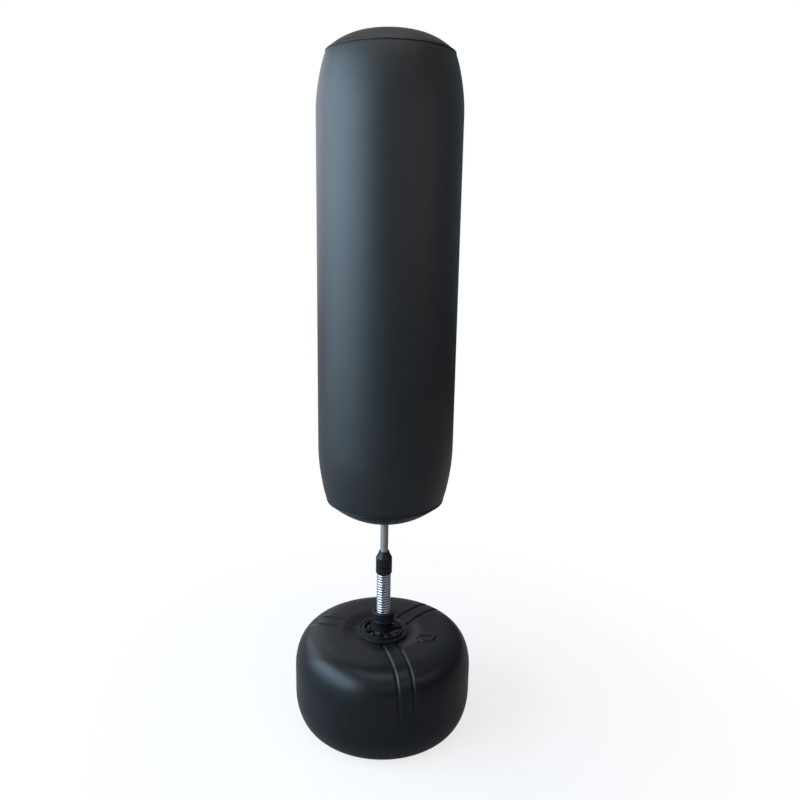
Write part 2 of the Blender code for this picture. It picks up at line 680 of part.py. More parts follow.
def build_post():
    """What rides on the top of the spring: cup, plug, inner tube, pin and guide bush."""
    hole = SPIGOT_RADIUS + SEAT_GAP
    turned("spring_top_cup", [
        (CUP_RADIUS - 0.0008, CUP_TOP), (CUP_RADIUS, CUP_TOP - 0.0008), (CUP_RADIUS, SPRING_TOP + CUP_EDGE),
        (CUP_RADIUS - CUP_WALL * 0.8, SPRING_TOP), (CUP_BORE, SPRING_TOP), (CUP_BORE, CUP_CEILING),
        (hole, CUP_CEILING), (hole, CUP_TOP),
    ], HUB_PLASTIC)
    plug_top = CUP_CEILING - SEAT_GAP
    plug_low = plug_top - TOP_PLUG_LENGTH
    spigot_top = plug_top + SPIGOT_LENGTH
    plug = turned("spring_top_plug", [
        (0.0, spigot_top), (SPIGOT_RADIUS - 0.0008, spigot_top), (SPIGOT_RADIUS, spigot_top - 0.0008),
        (SPIGOT_RADIUS, plug_top), (PLUG_RADIUS, plug_top), (PLUG_RADIUS, plug_low + 0.003),
        (PLUG_RADIUS - 0.002, plug_low), (0.0, plug_low),
    ], STEEL, SMALL_STEPS + 6)
    tube = turned("inner_post_tube", [
        (POST_RADIUS, POST_TOP), (POST_RADIUS, POST_LOW), (POST_BORE, POST_LOW), (POST_BORE, POST_TOP),
    ], STEEL, SMALL_STEPS + 10)
    pin_height = plug_top + PIN_HEIGHT_ON_SPIGOT
    across = Matrix.Translation((0.0, 0.0, pin_height)) @ Matrix.Rotation(math.pi / 2, 4, "X")

    def pin(bm, radius, length):
        bmesh.ops.create_cone(bm, cap_ends=True, cap_tris=False, segments=10, radius1=radius, radius2=radius,
                              depth=length, matrix=across)

    pin_hole = solid("pin_hole", None, lambda bm: pin(bm, PIN_RADIUS + SEAT_GAP, 4 * POST_RADIUS))
    boolean(plug, "DIFFERENCE", pin_hole)
    boolean(tube, "DIFFERENCE", pin_hole)
    solid("inner_post_pin", STEEL, lambda bm: pin(bm, PIN_RADIUS, 2 * (POST_RADIUS - SEAT_GAP)))
    bush_low = POST_TOP - BUSH_PLUG_LENGTH
    collar_low = POST_TOP + SEAT_GAP
    turned("post_guide_bush", [
        (0.0, collar_low + BUSH_COLLAR), (POLE_BORE - SLIP_GAP, collar_low + BUSH_COLLAR),
        (POLE_BORE - SLIP_GAP, collar_low), (POST_BORE - SEAT_GAP, collar_low), (POST_BORE - SEAT_GAP, bush_low),
        (0.0, bush_low),
    ], HUB_PLASTIC, SMALL_STEPS + 6)


def build_lock():
    """The twist lock: its body on the pole's lower end, the split collet and the grip nut."""
    neck_low = LOCK_SHOULDER + LOCK_CONE_TOP
    tube_hole = GUIDE_RADIUS + 0.0002
    turned("lock_body", [
        (LOCK_NECK_RADIUS - 0.0008, LOCK_TOP), (LOCK_NECK_RADIUS, LOCK_TOP - 0.0008), (LOCK_NECK_RADIUS, neck_low),
        (CUP_RADIUS - 0.0016, LOCK_SHOULDER + 0.0042), (CUP_RADIUS, LOCK_SHOULDER + 0.0012),
        (CUP_RADIUS, LOCK_SHOULDER),
        (THREAD_RADIUS, LOCK_SHOULDER), (THREAD_RADIUS, LOCK_BODY_LOW + 0.0008), (THREAD_RADIUS - 0.0008, LOCK_BODY_LOW),
        (CONE_MOUTH, LOCK_BODY_LOW), (tube_hole, LOCK_BODY_LOW + CONE_HEIGHT), (tube_hole, LOCK_BORE_STEP),
        (POLE_RADIUS + SEAT_GAP, LOCK_BORE_STEP), (POLE_RADIUS + SEAT_GAP, LOCK_TOP),
    ], HUB_PLASTIC)
    collet_low = NUT_LOW + NUT_FLOOR + SEAT_GAP
    cone_low = collet_low + COLLET_FLANGE
    bore = POST_RADIUS + SEAT_GAP
    slope = (CONE_MOUTH - tube_hole) / CONE_HEIGHT
    gap = SEAT_GAP * math.hypot(1.0, slope)
    cone_foot = CONE_MOUTH - gap - slope * max(0.0, cone_low - LOCK_BODY_LOW)
    rise = (cone_foot - bore - 0.0006) / slope
    collet = turned("lock_collet", [
        (bore + 0.0006, LOCK_BODY_LOW + rise), (cone_foot, LOCK_BODY_LOW), (COLLET_FLANGE_RADIUS, LOCK_BODY_LOW - SEAT_GAP),
        (COLLET_FLANGE_RADIUS, collet_low), (bore, collet_low), (bore, LOCK_BODY_LOW + rise),
    ], RUBBER)
    boolean(collet, "DIFFERENCE", solid("collet_split", None, lambda bm: block(
        bm, (0.03, COLLET_SPLIT, 0.03), (0.015, 0.0, collet_low))))
    nut = turned("lock_nut", [
        (CUP_RADIUS - 0.0006, NUT_TOP), (CUP_RADIUS, NUT_TOP - 0.0008), (CUP_RADIUS, NUT_LOW + 0.0008),
        (CUP_RADIUS - 0.0008, NUT_LOW), (GUIDE_RADIUS, NUT_LOW), (GUIDE_RADIUS, NUT_LOW + NUT_FLOOR),
        (THREAD_RADIUS + SLIP_GAP, NUT_LOW + NUT_FLOOR), (THREAD_RADIUS + SLIP_GAP, NUT_TOP),
    ], HUB_PLASTIC)

    def flutes(bm):
        for angle in around(NUT_FLUTES, 7.0):
            cylinder(bm, NUT_FLUTE_RADIUS, NUT_LOW + 0.003, NUT_TOP - 0.003, 8,
                     on_circle(CUP_RADIUS + NUT_FLUTE_RADIUS - NUT_FLUTE_DEPTH, angle))

    boolean(nut, "DIFFERENCE", solid("nut_flutes", None, flutes))


def build_pole():
    """The pole and the cap that the bag hangs on."""
    turned("pole_tube", [
        (POLE_RADIUS, POLE_TOP), (POLE_RADIUS, POLE_LOW), (POLE_BORE, POLE_LOW), (POLE_BORE, POLE_TOP),
    ], STEEL, SMALL_STEPS + 10)
    low = POLE_TOP + SEAT_GAP
    turned("pole_cap", [
        (0.0, CAP_TOP), (CAP_RADIUS * 0.45, CAP_TOP - CAP_HEIGHT * 0.06),
        (CAP_RADIUS * 0.8, CAP_TOP - CAP_HEIGHT * 0.25), (CAP_RADIUS, CAP_TOP - CAP_HEIGHT * 0.6), (CAP_RADIUS, low),
        (POLE_BORE - SEAT_GAP, low), (POLE_BORE - SEAT_GAP, low - CAP_PLUG), (0.0, low - CAP_PLUG),
    ], RUBBER, SMALL_STEPS + 6)


def low_dome(r):
    """Height of the bag's lower end at a radius."""
    return BAG_LOW_SEAM_HEIGHT - BAG_LOW_DOME * (1 - (r / BAG_LOW_SEAM_RADIUS) ** LOW_DOME_POWER)


def low_slope(r):
    return BAG_LOW_DOME * LOW_DOME_POWER / BAG_LOW_SEAM_RADIUS * (r / BAG_LOW_SEAM_RADIUS) ** (LOW_DOME_POWER - 1)


def top_dome(r):
    """Height of the bag's upper end at a radius."""
    return BAG_TOP_SEAM_HEIGHT + BAG_TOP_DOME * (1 - (r / BAG_TOP_SEAM_RADIUS) ** TOP_DOME_POWER)


def low_curve(t):
    """The wall above the lower seam: 0 at the seam, 1 at full radius."""
    return (BAG_LOW_SEAM_RADIUS + (BAG_RADIUS - BAG_LOW_SEAM_RADIUS) * (1 - (1 - t) ** LOW_CURVE_POWER),
            BAG_LOW_SEAM_HEIGHT + BAG_LOW_CURVE * t)


def top_curve(t):
    """The wall below the upper seam: 0 at full radius, 1 at the seam."""
    return (BAG_RADIUS - (BAG_RADIUS - BAG_TOP_SEAM_RADIUS) * t ** TOP_CURVE_POWER,
            BAG_TOP_SEAM_HEIGHT - BAG_TOP_CURVE * (1 - t))


def seam_margin():
    return PIPING_RADIUS + SEAT_GAP


def top_panel(trim):
    """Upper end from the axis out towards the seam, stopping short by the trim."""
    slope = BAG_TOP_DOME * TOP_DOME_POWER / BAG_TOP_SEAM_RADIUS
    edge = BAG_TOP_SEAM_RADIUS - trim / math.hypot(1.0, slope)
    return sampled(lambda k: (edge * k ** 0.75, top_dome(edge * k ** 0.75)), 0.0, 1.0, PANEL_RINGS)


def side_panel(trim):
    """The wall from the upper seam to the lower one, stopping short of both by the trim."""
    top_end = 1 - trim / math.hypot(BAG_TOP_CURVE, (BAG_RADIUS - BAG_TOP_SEAM_RADIUS) * TOP_CURVE_POWER)
    low_end = trim / math.hypot(BAG_LOW_CURVE, (BAG_RADIUS - BAG_LOW_SEAM_RADIUS) * LOW_CURVE_POWER)
    upper = sampled(lambda k: top_curve(top_end * (1 - k ** 1.3)), 0.0, 1.0, PANEL_RINGS)
    lower = sampled(lambda k: low_curve(low_end + (1 - low_end) * k ** 1.3), 1.0, 0.0, PANEL_RINGS)
    return upper + lower


def low_panel(trim):
    """Lower end from the seam in to the pole's hole."""
    edge = BAG_LOW_SEAM_RADIUS - trim / math.hypot(1.0, low_slope(BAG_LOW_SEAM_RADIUS))
    hole, reach = POLE_HOLE_RADIUS, edge - POLE_HOLE_RADIUS
    return sampled(lambda k: (hole + reach * k ** 0.8, low_dome(hole + reach * k ** 0.8)), 1.0, 0.0, PANEL_RINGS)


def valve_place():
    """Point on the cover's outer skin under the valve, and the rotation that turns +Z to point out of the bag."""
    angle = math.radians(VALVE_AZIMUTH_DEG)
    tilt = math.atan(low_slope(VALVE_RADIUS_OUT))
    point = (*on_circle(VALVE_RADIUS_OUT, angle), low_dome(VALVE_RADIUS_OUT))
    return point, (0.0, math.pi - tilt, angle)


def build_bag():
    """Bladder, cover panels and piping."""
    trim = seam_margin()

    def shell(points):
        return points + offset_outline(points, COVER_THICKNESS)[::-1]

    top = top_panel(trim)
    inner = offset_outline(top, COVER_THICKNESS)
    inner[0] = (0.0, top[0][1] - COVER_THICKNESS)
    turned("cover_top", top + inner[::-1], LEATHERETTE, BAG_STEPS)
    turned("cover_side", shell(side_panel(trim)), LEATHERETTE, BAG_STEPS)
    bottom = turned("cover_bottom", shell(low_panel(trim)), LEATHERETTE, BAG_STEPS)

    def bead(name, r, z, up):
        nr, nz = (math.cos(up), math.sin(up))
        r, z = r + PIPING_PROUD * nr, z + PIPING_PROUD * nz
        ring = [(r + PIPING_RADIUS * math.cos(a), z + PIPING_RADIUS * math.sin(a))
                for a in (math.pi / 2 - k * math.pi / 3 for k in range(6))]
        turned(name, ring, LEATHERETTE, BAG_STEPS)

    top_slope = math.atan(BAG_TOP_DOME * TOP_DOME_POWER / BAG_TOP_SEAM_RADIUS)
    top_wall = math.atan2(BAG_TOP_CURVE, (BAG_RADIUS - BAG_TOP_SEAM_RADIUS) * TOP_CURVE_POWER)
    low_wall = math.atan2(BAG_LOW_CURVE, (BAG_RADIUS - BAG_LOW_SEAM_RADIUS) * LOW_CURVE_POWER)
    bead("piping_top", BAG_TOP_SEAM_RADIUS, BAG_TOP_SEAM_HEIGHT, math.pi / 2 - (top_slope + top_wall) / 2)
    low_mean = (math.atan(low_slope(BAG_LOW_SEAM_RADIUS)) + low_wall) / 2
    bead("piping_bottom", BAG_LOW_SEAM_RADIUS, BAG_LOW_SEAM_HEIGHT, low_mean - math.pi / 2)

    depth = COVER_THICKNESS + SOFT_GAP
    side, low = side_panel(trim), low_panel(trim)
    skin = top_panel(trim)[::2] + side[:PANEL_RINGS:2] + side[PANEL_RINGS::2] + low[:-1:2] + low[-2:-1]
    skin = offset_outline(skin, depth)
    skin[0] = (0.0, BAG_TOP_SEAM_HEIGHT + BAG_TOP_DOME - depth)
    mouth_radius = SLEEVE_RADIUS + 0.004
    mouth = low_dome(mouth_radius) + depth * 1.2
    sleeve = [(mouth_radius, mouth), (SLEEVE_RADIUS, mouth + 0.003),
              (SLEEVE_RADIUS, SLEEVE_TOP - 0.004), (SLEEVE_RADIUS - 0.004, SLEEVE_TOP), (0.0, SLEEVE_TOP)]
    bladder = turned("bladder", skin + sleeve, VINYL, BAG_STEPS)
    wall = bladder.modifiers.new("Wall", "SOLIDIFY")
    wall.thickness = BLADDER_WALL
    wall.offset = -1.0
    wall.use_even_offset = True
    wall.use_rim = False

    point, rotation = valve_place()
    axis = empty("valve_axis", point, rotation)
    hole = VALVE_NECK_RADIUS + SEAT_GAP
    reach = 0.006
    punch = solid("valve_hole", None, lambda bm: cylinder(bm, hole, -reach, reach), axis)
    boolean(bottom, "DIFFERENCE", punch)
    boolean(bladder, "DIFFERENCE", punch)
    flange_high = -(COVER_THICKNESS + SOFT_GAP + BLADDER_WALL + SEAT_GAP + VALVE_FLANGE_ROOM)
    flange_low = flange_high - VALVE_FLANGE_THICKNESS
    neck_end = VALVE_NECK_LENGTH - COVER_THICKNESS
    turned("valve_body", [
        (VALVE_NECK_RADIUS - 0.0006, neck_end), (VALVE_NECK_RADIUS, neck_end - 0.0006),
        (VALVE_NECK_RADIUS, flange_high), (VALVE_FLANGE_RADIUS, flange_high), (VALVE_FLANGE_RADIUS, flange_low),
        (VALVE_BORE, flange_low), (VALVE_BORE, neck_end),
    ], RUBBER, SMALL_STEPS, axis)
    eyelet_low = SEAT_GAP
    turned("valve_eyelet", [
        (hole + EYELET_WIDTH - 0.0004, eyelet_low + EYELET_THICKNESS), (hole + EYELET_WIDTH, eyelet_low),
        (hole, eyelet_low), (hole, eyelet_low + EYELET_THICKNESS),
    ], DARK_STEEL, SMALL_STEPS, axis)
    head_low = neck_end + SEAT_GAP
    stem = VALVE_BORE - SEAT_GAP
    turned("valve_stopper", [
        (0.0, head_low + STOPPER_HEAD_HEIGHT), (STOPPER_HEAD_RADIUS - 0.001, head_low + STOPPER_HEAD_HEIGHT),
        (STOPPER_HEAD_RADIUS, head_low + STOPPER_HEAD_HEIGHT - 0.001), (STOPPER_HEAD_RADIUS, head_low),
        (stem, head_low), (stem, head_low - STOPPER_LENGTH), (0.0, head_low - STOPPER_LENGTH),
    ], RUBBER, SMALL_STEPS, axis)


def build_zip():
    """The zip down the back of the cover, its slider and its pull tab."""
    back = BAG_RADIUS + SEAT_GAP
    length = ZIP_HIGH - ZIP_LOW
    middle = (ZIP_HIGH + ZIP_LOW) / 2
    tape_out = back + ZIP_TAPE_THICKNESS
    tape = solid("zip_tape", TAPE, lambda bm: block(
        bm, (ZIP_TAPE_WIDTH, ZIP_TAPE_THICKNESS, length), (0.0, back + ZIP_TAPE_THICKNESS / 2, middle)))
    teeth = solid("zip_teeth", None, lambda bm: block(
        bm, (ZIP_TEETH_WIDTH, ZIP_TEETH_HEIGHT + 0.0004, length - 0.012),
        (0.0, tape_out + (ZIP_TEETH_HEIGHT - 0.0004) / 2, middle)))
    boolean(tape, "UNION", teeth)
    slider_low = tape_out + SEAT_GAP
    slider_out = tape_out + ZIP_TEETH_HEIGHT + SEAT_GAP + SLIDER_HEIGHT
    rest = ZIP_HIGH - 0.006 - SLIDER_LENGTH / 2
    axis = empty("zip_slider_axis", (0.0, 0.0, rest))
    slider = solid("zip_slider", DARK_STEEL, lambda bm: block(
        bm, (SLIDER_WIDTH, slider_out - slider_low, SLIDER_LENGTH), (0.0, (slider_low + slider_out) / 2, 0.0)), axis)
    channel = solid("zip_channel", None, lambda bm: block(
        bm, (ZIP_TEETH_WIDTH + 2 * SEAT_GAP, 2 * (ZIP_TEETH_HEIGHT + SEAT_GAP), SLIDER_LENGTH + 0.004),
        (0.0, tape_out, 0.0)), axis)
    boolean(slider, "DIFFERENCE", channel)
    tab_y = slider_out + TAB_LUG_HEIGHT / 2
    lug_gap = TAB_WIDTH / 2 + SEAT_GAP

    def lugs(bm):
        for side in (-1, 1):
            block(bm, (SLIDER_WIDTH / 2 - lug_gap, TAB_LUG_HEIGHT + 0.0004, 0.004),
                  (side * (SLIDER_WIDTH / 2 + lug_gap) / 2, slider_out + (TAB_LUG_HEIGHT - 0.0004) / 2, 0.0))

    def pin(bm, radius, width):
        bmesh.ops.create_cone(bm, cap_ends=True, cap_tris=False, segments=8, radius1=radius, radius2=radius,
                              depth=width, matrix=Matrix.Translation((0.0, tab_y, 0.0)) @ Matrix.Rotation(math.pi / 2, 4, "Y"))

    boolean(slider, "UNION", solid("zip_lugs", None, lugs, axis),
            solid("zip_pin", None, lambda bm: pin(bm, TAB_PIN_RADIUS, 2 * lug_gap + 0.001), axis))
    tab_axis = empty("zip_tab_axis", (0.0, tab_y, rest))

    lying = Matrix.Rotation(math.pi / 2, 4, "Y")

    def roll(bm, radius, width):
        bmesh.ops.create_cone(bm, cap_ends=True, cap_tris=False, segments=8, radius1=radius, radius2=radius,
                              depth=width, matrix=lying)

    plate = solid("zip_tab", DARK_STEEL, lambda bm: block(
        bm, (TAB_WIDTH, TAB_THICKNESS, TAB_LENGTH), (0.0, 0.0, -TAB_LENGTH / 2)), tab_axis)
    boolean(plate, "UNION", solid("zip_tab_roll", None, lambda bm: roll(bm, TAB_EYE_RADIUS, TAB_WIDTH - SEAT_GAP), tab_axis))
    boolean(plate, "DIFFERENCE", solid(
        "zip_tab_eye", None, lambda bm: roll(bm, TAB_PIN_RADIUS + SEAT_GAP, 2 * TAB_WIDTH), tab_axis))


def main():
    clear_scene()
    build_tank()
    build_filler()
    build_flange()
    build_spring()
    build_post()
    build_lock()
    build_pole()
    build_bag()
    build_zip()
    bpy.context.view_layer.update()


main()
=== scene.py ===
"""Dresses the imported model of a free-standing inflatable punching bag.

Metres, +Z up. The origin is on the floor under the middle of the base, and -Y faces the viewer.
"""

import logging
import math
from dataclasses import dataclass
from enum import Enum
from typing import Any, Callable, Sequence

import bmesh
import bpy
from mathutils import Matrix, Vector, noise
from mathutils.bvhtree import BVHTree


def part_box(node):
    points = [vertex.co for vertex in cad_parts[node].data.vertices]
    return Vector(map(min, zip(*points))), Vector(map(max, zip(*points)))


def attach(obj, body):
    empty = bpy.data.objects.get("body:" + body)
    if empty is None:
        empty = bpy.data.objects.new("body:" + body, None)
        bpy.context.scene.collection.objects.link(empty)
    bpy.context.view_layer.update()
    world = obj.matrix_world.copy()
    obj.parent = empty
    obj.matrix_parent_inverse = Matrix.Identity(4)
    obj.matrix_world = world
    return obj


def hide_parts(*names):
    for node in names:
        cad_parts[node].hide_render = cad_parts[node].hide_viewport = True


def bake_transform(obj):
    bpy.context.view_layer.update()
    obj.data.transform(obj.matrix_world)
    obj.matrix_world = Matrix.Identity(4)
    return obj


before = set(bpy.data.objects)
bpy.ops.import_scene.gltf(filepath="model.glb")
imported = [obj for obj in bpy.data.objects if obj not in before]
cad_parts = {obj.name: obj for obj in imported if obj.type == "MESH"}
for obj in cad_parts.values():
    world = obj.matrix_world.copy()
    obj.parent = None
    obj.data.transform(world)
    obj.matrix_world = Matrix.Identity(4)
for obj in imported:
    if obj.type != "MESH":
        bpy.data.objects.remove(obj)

LOG = logging.getLogger("punching_bag")
Colour = tuple[float, float, float]
Outline = list[tuple[float, float]]
Steps = tuple[tuple[float, float], ...]
Scale = tuple[float, float, float]
Shape = bmesh.types.BMesh
Vertex = bmesh.types.BMVert
Edge = bmesh.types.BMEdge
Piece = bpy.types.Object
WELD = 1e-6
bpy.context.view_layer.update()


class Link:
    """An output socket of a material's graph. Arithmetic on it adds Math nodes."""

    def __init__(self, graph: "Graph", socket: bpy.types.NodeSocket) -> None:
        """Keeps the graph and the socket."""
        self.graph, self.socket = graph, socket

    def _math(self, operation: str, *operands: "Link | float") -> "Link":
        """Adds one Math node."""
        return self.graph.node("ShaderNodeMath", {"operation": operation}, dict(enumerate(operands)))

    def __add__(self, other: "Link | float") -> "Link":
        """self + other"""
        return self._math("ADD", self, other)

    def __radd__(self, other: float) -> "Link":
        """other + self"""
        return self._math("ADD", other, self)

    def __sub__(self, other: "Link | float") -> "Link":
        """self - other"""
        return self._math("SUBTRACT", self, other)

    def __rsub__(self, other: float) -> "Link":
        """other - self"""
        return self._math("SUBTRACT", other, self)

    def __mul__(self, other: "Link | float") -> "Link":
        """self * other"""
        return self._math("MULTIPLY", self, other)

    def __rmul__(self, other: float) -> "Link":
        """other * self"""
        return self._math("MULTIPLY", other, self)

    def sine(self) -> "Link":
        """The sine of a value in radians."""
        return self._math("SINE", self)

    def most(self, other: "Link | float") -> "Link":
        """The larger of two values."""
        return self._math("MAXIMUM", self, other)

    def eased(self, low: float, high: float, start: float = 0.0, end: float = 1.0) -> "Link":
        """A smooth step from start, at low, to end, at high."""
        return self.graph.node("ShaderNodeMapRange", {"interpolation_type": "SMOOTHSTEP"}, {
            "Value": self, "From Min": low, "From Max": high, "To Min": start, "To Max": end})

    def part(self, axis: str) -> "Link":
        """One coordinate of a vector."""
        return self.graph.node("ShaderNodeSeparateXYZ", {}, {0: self}, axis)


class Graph:
    """The node graph of one material or world."""

    def __init__(self, tree: bpy.types.NodeTree) -> None:
        """Empties the graph.

        Args:
            tree: the node tree of a material or a world.
        """
        self.tree = tree
        tree.nodes.clear()

    def node(self, kind: str, settings: dict[str, Any] | None = None,
             inputs: dict[int | str, Any] | None = None, output: int | str = 0) -> Link:
        """Adds a node.

        Args:
            kind: the node's type.
            settings: its properties, set before its sockets; stops are a colour ramp's.
            inputs: values or links of its sockets, by index or name.
            output: the socket to return.

        Returns:
            The chosen output.
        """
        made = self.tree.nodes.new(kind)
        for name, value in (settings or {}).items():
            if name == "stops":
                for index, (place, colour) in enumerate(value):
                    ramp = made.color_ramp.elements
                    stop = ramp[index] if index < 2 else ramp.new(place)
                    stop.position, stop.color = place, (*colour, 1.0)
            else:
                setattr(made, name, value)
        for name, value in (inputs or {}).items():
            if isinstance(value, Link):
                self.tree.links.new(value.socket, made.inputs[name])
            else:
                made.inputs[name].default_value = value
        return Link(self, made.outputs[output] if made.outputs else None)

    def rays(self) -> tuple[Link, Link, Link]:
        """Whether a ray comes from the camera, off a glossy face and through a clear one."""
        kinds = ("Camera", "Glossy", "Transmission")
        return tuple(self.node("ShaderNodeLightPath", output=f"Is {kind} Ray") for kind in kinds)

    def place(self, scale: Scale = (1.0, 1.0, 1.0)) -> Link:
        """Object coordinates, stretched where asked."""
        where = self.node("ShaderNodeTexCoord", output="Object")
        return self.node("ShaderNodeMapping", {}, {"Vector": where, "Scale": scale})

    def noise(self, vector: Link, scale: float, detail: float = 2.0, roughness: float = 0.5) -> Link:
        """Noise between 0 and 1."""
        return self.node("ShaderNodeTexNoise", {}, {
            "Vector": vector, "Scale": scale, "Detail": detail, "Roughness": roughness})

    def cells(self, vector: Link, scale: float, feature: str = "F1") -> Link:
        """Distance in a pattern of irregular cells."""
        inputs = {"Vector": vector, "Scale": scale}
        return self.node("ShaderNodeTexVoronoi", {"feature": feature}, inputs, "Distance")

    def warped(self, vector: Link, scale: float, reach: float) -> Link:
        """Coordinates pushed about by noise.

        Args:
            vector: the coordinates.
            scale: how fine the noise is.
            reach: how far it pushes, in metres.

        Returns:
            The new coordinates.
        """
        push = self.node("ShaderNodeTexNoise", {}, {"Vector": vector, "Scale": scale}, "Color")
        push = self.node("ShaderNodeVectorMath", {"operation": "SUBTRACT"}, {0: push, 1: (0.5, 0.5, 0.5)})
        push = self.node("ShaderNodeVectorMath", {"operation": "SCALE"}, {0: push, "Scale": reach})
        return self.node("ShaderNodeVectorMath", {"operation": "ADD"}, {0: vector, 1: push})

    def mixed(self, factor: Link | float, low: Colour | Link, high: Colour | Link) -> Link:
        """A colour between two."""
        ends = [(*c, 1.0) if isinstance(c, tuple) else c for c in (low, high)]
        return self.node("ShaderNodeMix", {"data_type": "RGBA"}, {0: factor, 6: ends[0], 7: ends[1]}, 2)

    def bump(self, height: Link, distance: float, strength: float = 1.0, under: Link | None = None) -> Link:
        """A normal raised by a height.

        Args:
            height: the height, where 1 is the full distance.
            distance: the relief's depth in metres.
            strength: how strongly it counts.
            under: a normal that it is laid over.

        Returns:
            The normal.
        """
        inputs = {"Height": height, "Distance": distance, "Strength": strength}
        if under is not None:
            inputs["Normal"] = under
        return self.node("ShaderNodeBump", {}, inputs)

    def surface(self, **inputs: Any) -> None:
        """Ends the graph in one Principled shader, whose sockets are named with underscores."""
        shader = self.node("ShaderNodeBsdfPrincipled", {}, {
            name.replace("_", " "): (*value, 1.0) if isinstance(value, tuple) else value
            for name, value in inputs.items()})
        self.node("ShaderNodeOutputMaterial", {}, {"Surface": shader})


@dataclass(frozen=True)
class Finish:
    """What every finish has: a name and a colour, and a material made once."""

    name: str
    colour: Colour

    def material(self) -> bpy.types.Material:
        """The finish's material, made the first time it is asked for."""
        found = bpy.data.materials.get(self.name)
        if found is None:
            found = bpy.data.materials.new(self.name)
            found.use_nodes = True
            self.paint(Graph(found.node_tree))
            found.diffuse_color = (*self.colour, 1.0)
        return found

    def shade(self, amount: float) -> Colour:
        """The colour made lighter or darker."""
        return tuple(c * amount for c in self.colour)

    def paint(self, graph: Graph) -> None:
        """Fills the graph, each finish in its own way."""
        raise NotImplementedError


@dataclass(frozen=True)
class Leatherette(Finish):
    """Coated cloth with a fine pebbled grain and a soft sheen."""

    grain: float = 950.0
    depth: float = 0.00009
    roughness: float = 0.33
    crease: tuple[float, float] = (400.0, 0.0011)
    crease_width: float = 0.28
    fine_grain: float = 2600.0
    fine_depth: float = 0.4
    cloud_scale: float = 7.0
    smear_scale: float = 26.0
    smear_stretch: Scale = (1.0, 1.0, 0.25)
    # the first tint is painted shade in the grain's creases; the other two are the cloud's random tone
    tints: tuple[float, float, float] = (0.62, 0.9, 1.14)
    smear_gloss: float = 0.1
    crease_gloss: float = 0.12
    shine: float = 0.45

    def paint(self, graph: Graph) -> None:
        """Creased grain with painted shade that darkens its creases, faint cloudiness and slightly uneven
        gloss.
        """
        where = graph.place()
        painted_crease_shade, dark, light = self.tints
        warped = graph.warped(where, *self.crease)
        pebbles = graph.cells(warped, self.grain, "DISTANCE_TO_EDGE").eased(0.0, self.crease_width)
        fine = graph.noise(where, self.fine_grain, 3.0)
        cloud = graph.noise(where, self.cloud_scale, 4.0, 0.6)
        smears = graph.noise(graph.place(self.smear_stretch), self.smear_scale, 3.0)
        colour = graph.mixed(cloud.eased(0.3, 0.7), self.shade(dark), self.shade(light))
        # painted shade: the grain's creases are darkened to the first tint
        colour = graph.mixed(pebbles * 0.5 + 0.5, self.shade(painted_crease_shade), colour)
        graph.surface(
            Base_Color=colour,
            Roughness=self.roughness + (smears - 0.5) * self.smear_gloss + (1 - pebbles) * self.crease_gloss,
            Normal=graph.bump(fine, self.depth * self.fine_depth, 0.5, graph.bump(pebbles, self.depth, 0.8)),
            Specular_IOR_Level=self.shine)


@dataclass(frozen=True)
class MouldedPlastic(Finish):
    """Tank or hub plastic, with the pebbled skin of its mould, handling marks and dust."""

    pebble: float = 520.0
    depth: float = 0.00008
    roughness: float = 0.31
    marks: float = 1.0
    ripple: tuple[float, float] = (230.0, 0.0016)
    cloud_scale: float = 9.0
    dust_scale: float = 60.0
    dust_colour: Colour = (0.20, 0.19, 0.175)
    dust_cover: float = 0.05
    scratch_ways: tuple[Scale, ...] = ((9.0, 1.2, 1.6), (1.4, 8.0, 1.0), (1.8, 1.5, 9.0))
    scratch_bend: tuple[float, float] = (3.0, 0.12)
    scratch_scale: float = 24.0
    scratch_band: tuple[float, float] = (0.715, 0.75)
    scratch_depth: float = 0.00003
    scratch_cover: float = 0.35
    tints: tuple[float, float, float] = (0.88, 1.15, 2.4)
    gloss: tuple[float, float, float] = (0.08, 0.07, 0.16)
    shine: float = 0.27

    def paint(self, graph: Graph) -> None:
        """Pebbles, short scratches and a little dust that dulls the gloss."""
        where = graph.place()
        dark, light, scraped = self.tints
        by_cloud, by_dust, by_scratch = self.gloss
        warped = graph.warped(where, *self.ripple)
        pebbles = graph.cells(warped, self.pebble, "SMOOTH_F1").eased(0.05, 0.75)
        cloud = graph.noise(where, self.cloud_scale, 4.0, 0.6)
        dust = graph.noise(where, self.dust_scale, 5.0, 0.7).eased(0.52, 0.85)
        scratches = [
            graph.noise(graph.warped(graph.place(way), *self.scratch_bend), self.scratch_scale, 3.0)
            .eased(*self.scratch_band) for way in self.scratch_ways]
        scratch = scratches[0].most(scratches[1]).most(scratches[2]) * self.marks
        colour = graph.mixed(cloud.eased(0.3, 0.75), self.shade(dark), self.shade(light))
        colour = graph.mixed(scratch * self.scratch_cover, colour, self.shade(scraped))
        colour = graph.mixed(dust * self.dust_cover * self.marks, colour, self.dust_colour)
        graph.surface(
            Base_Color=colour,
            Roughness=self.roughness + (cloud - 0.5) * by_cloud + dust * by_dust + scratch * by_scratch,
            Normal=graph.bump(scratch, self.scratch_depth, 0.6, graph.bump(1 - pebbles, self.depth, 0.9)),
            Specular_IOR_Level=self.shine)


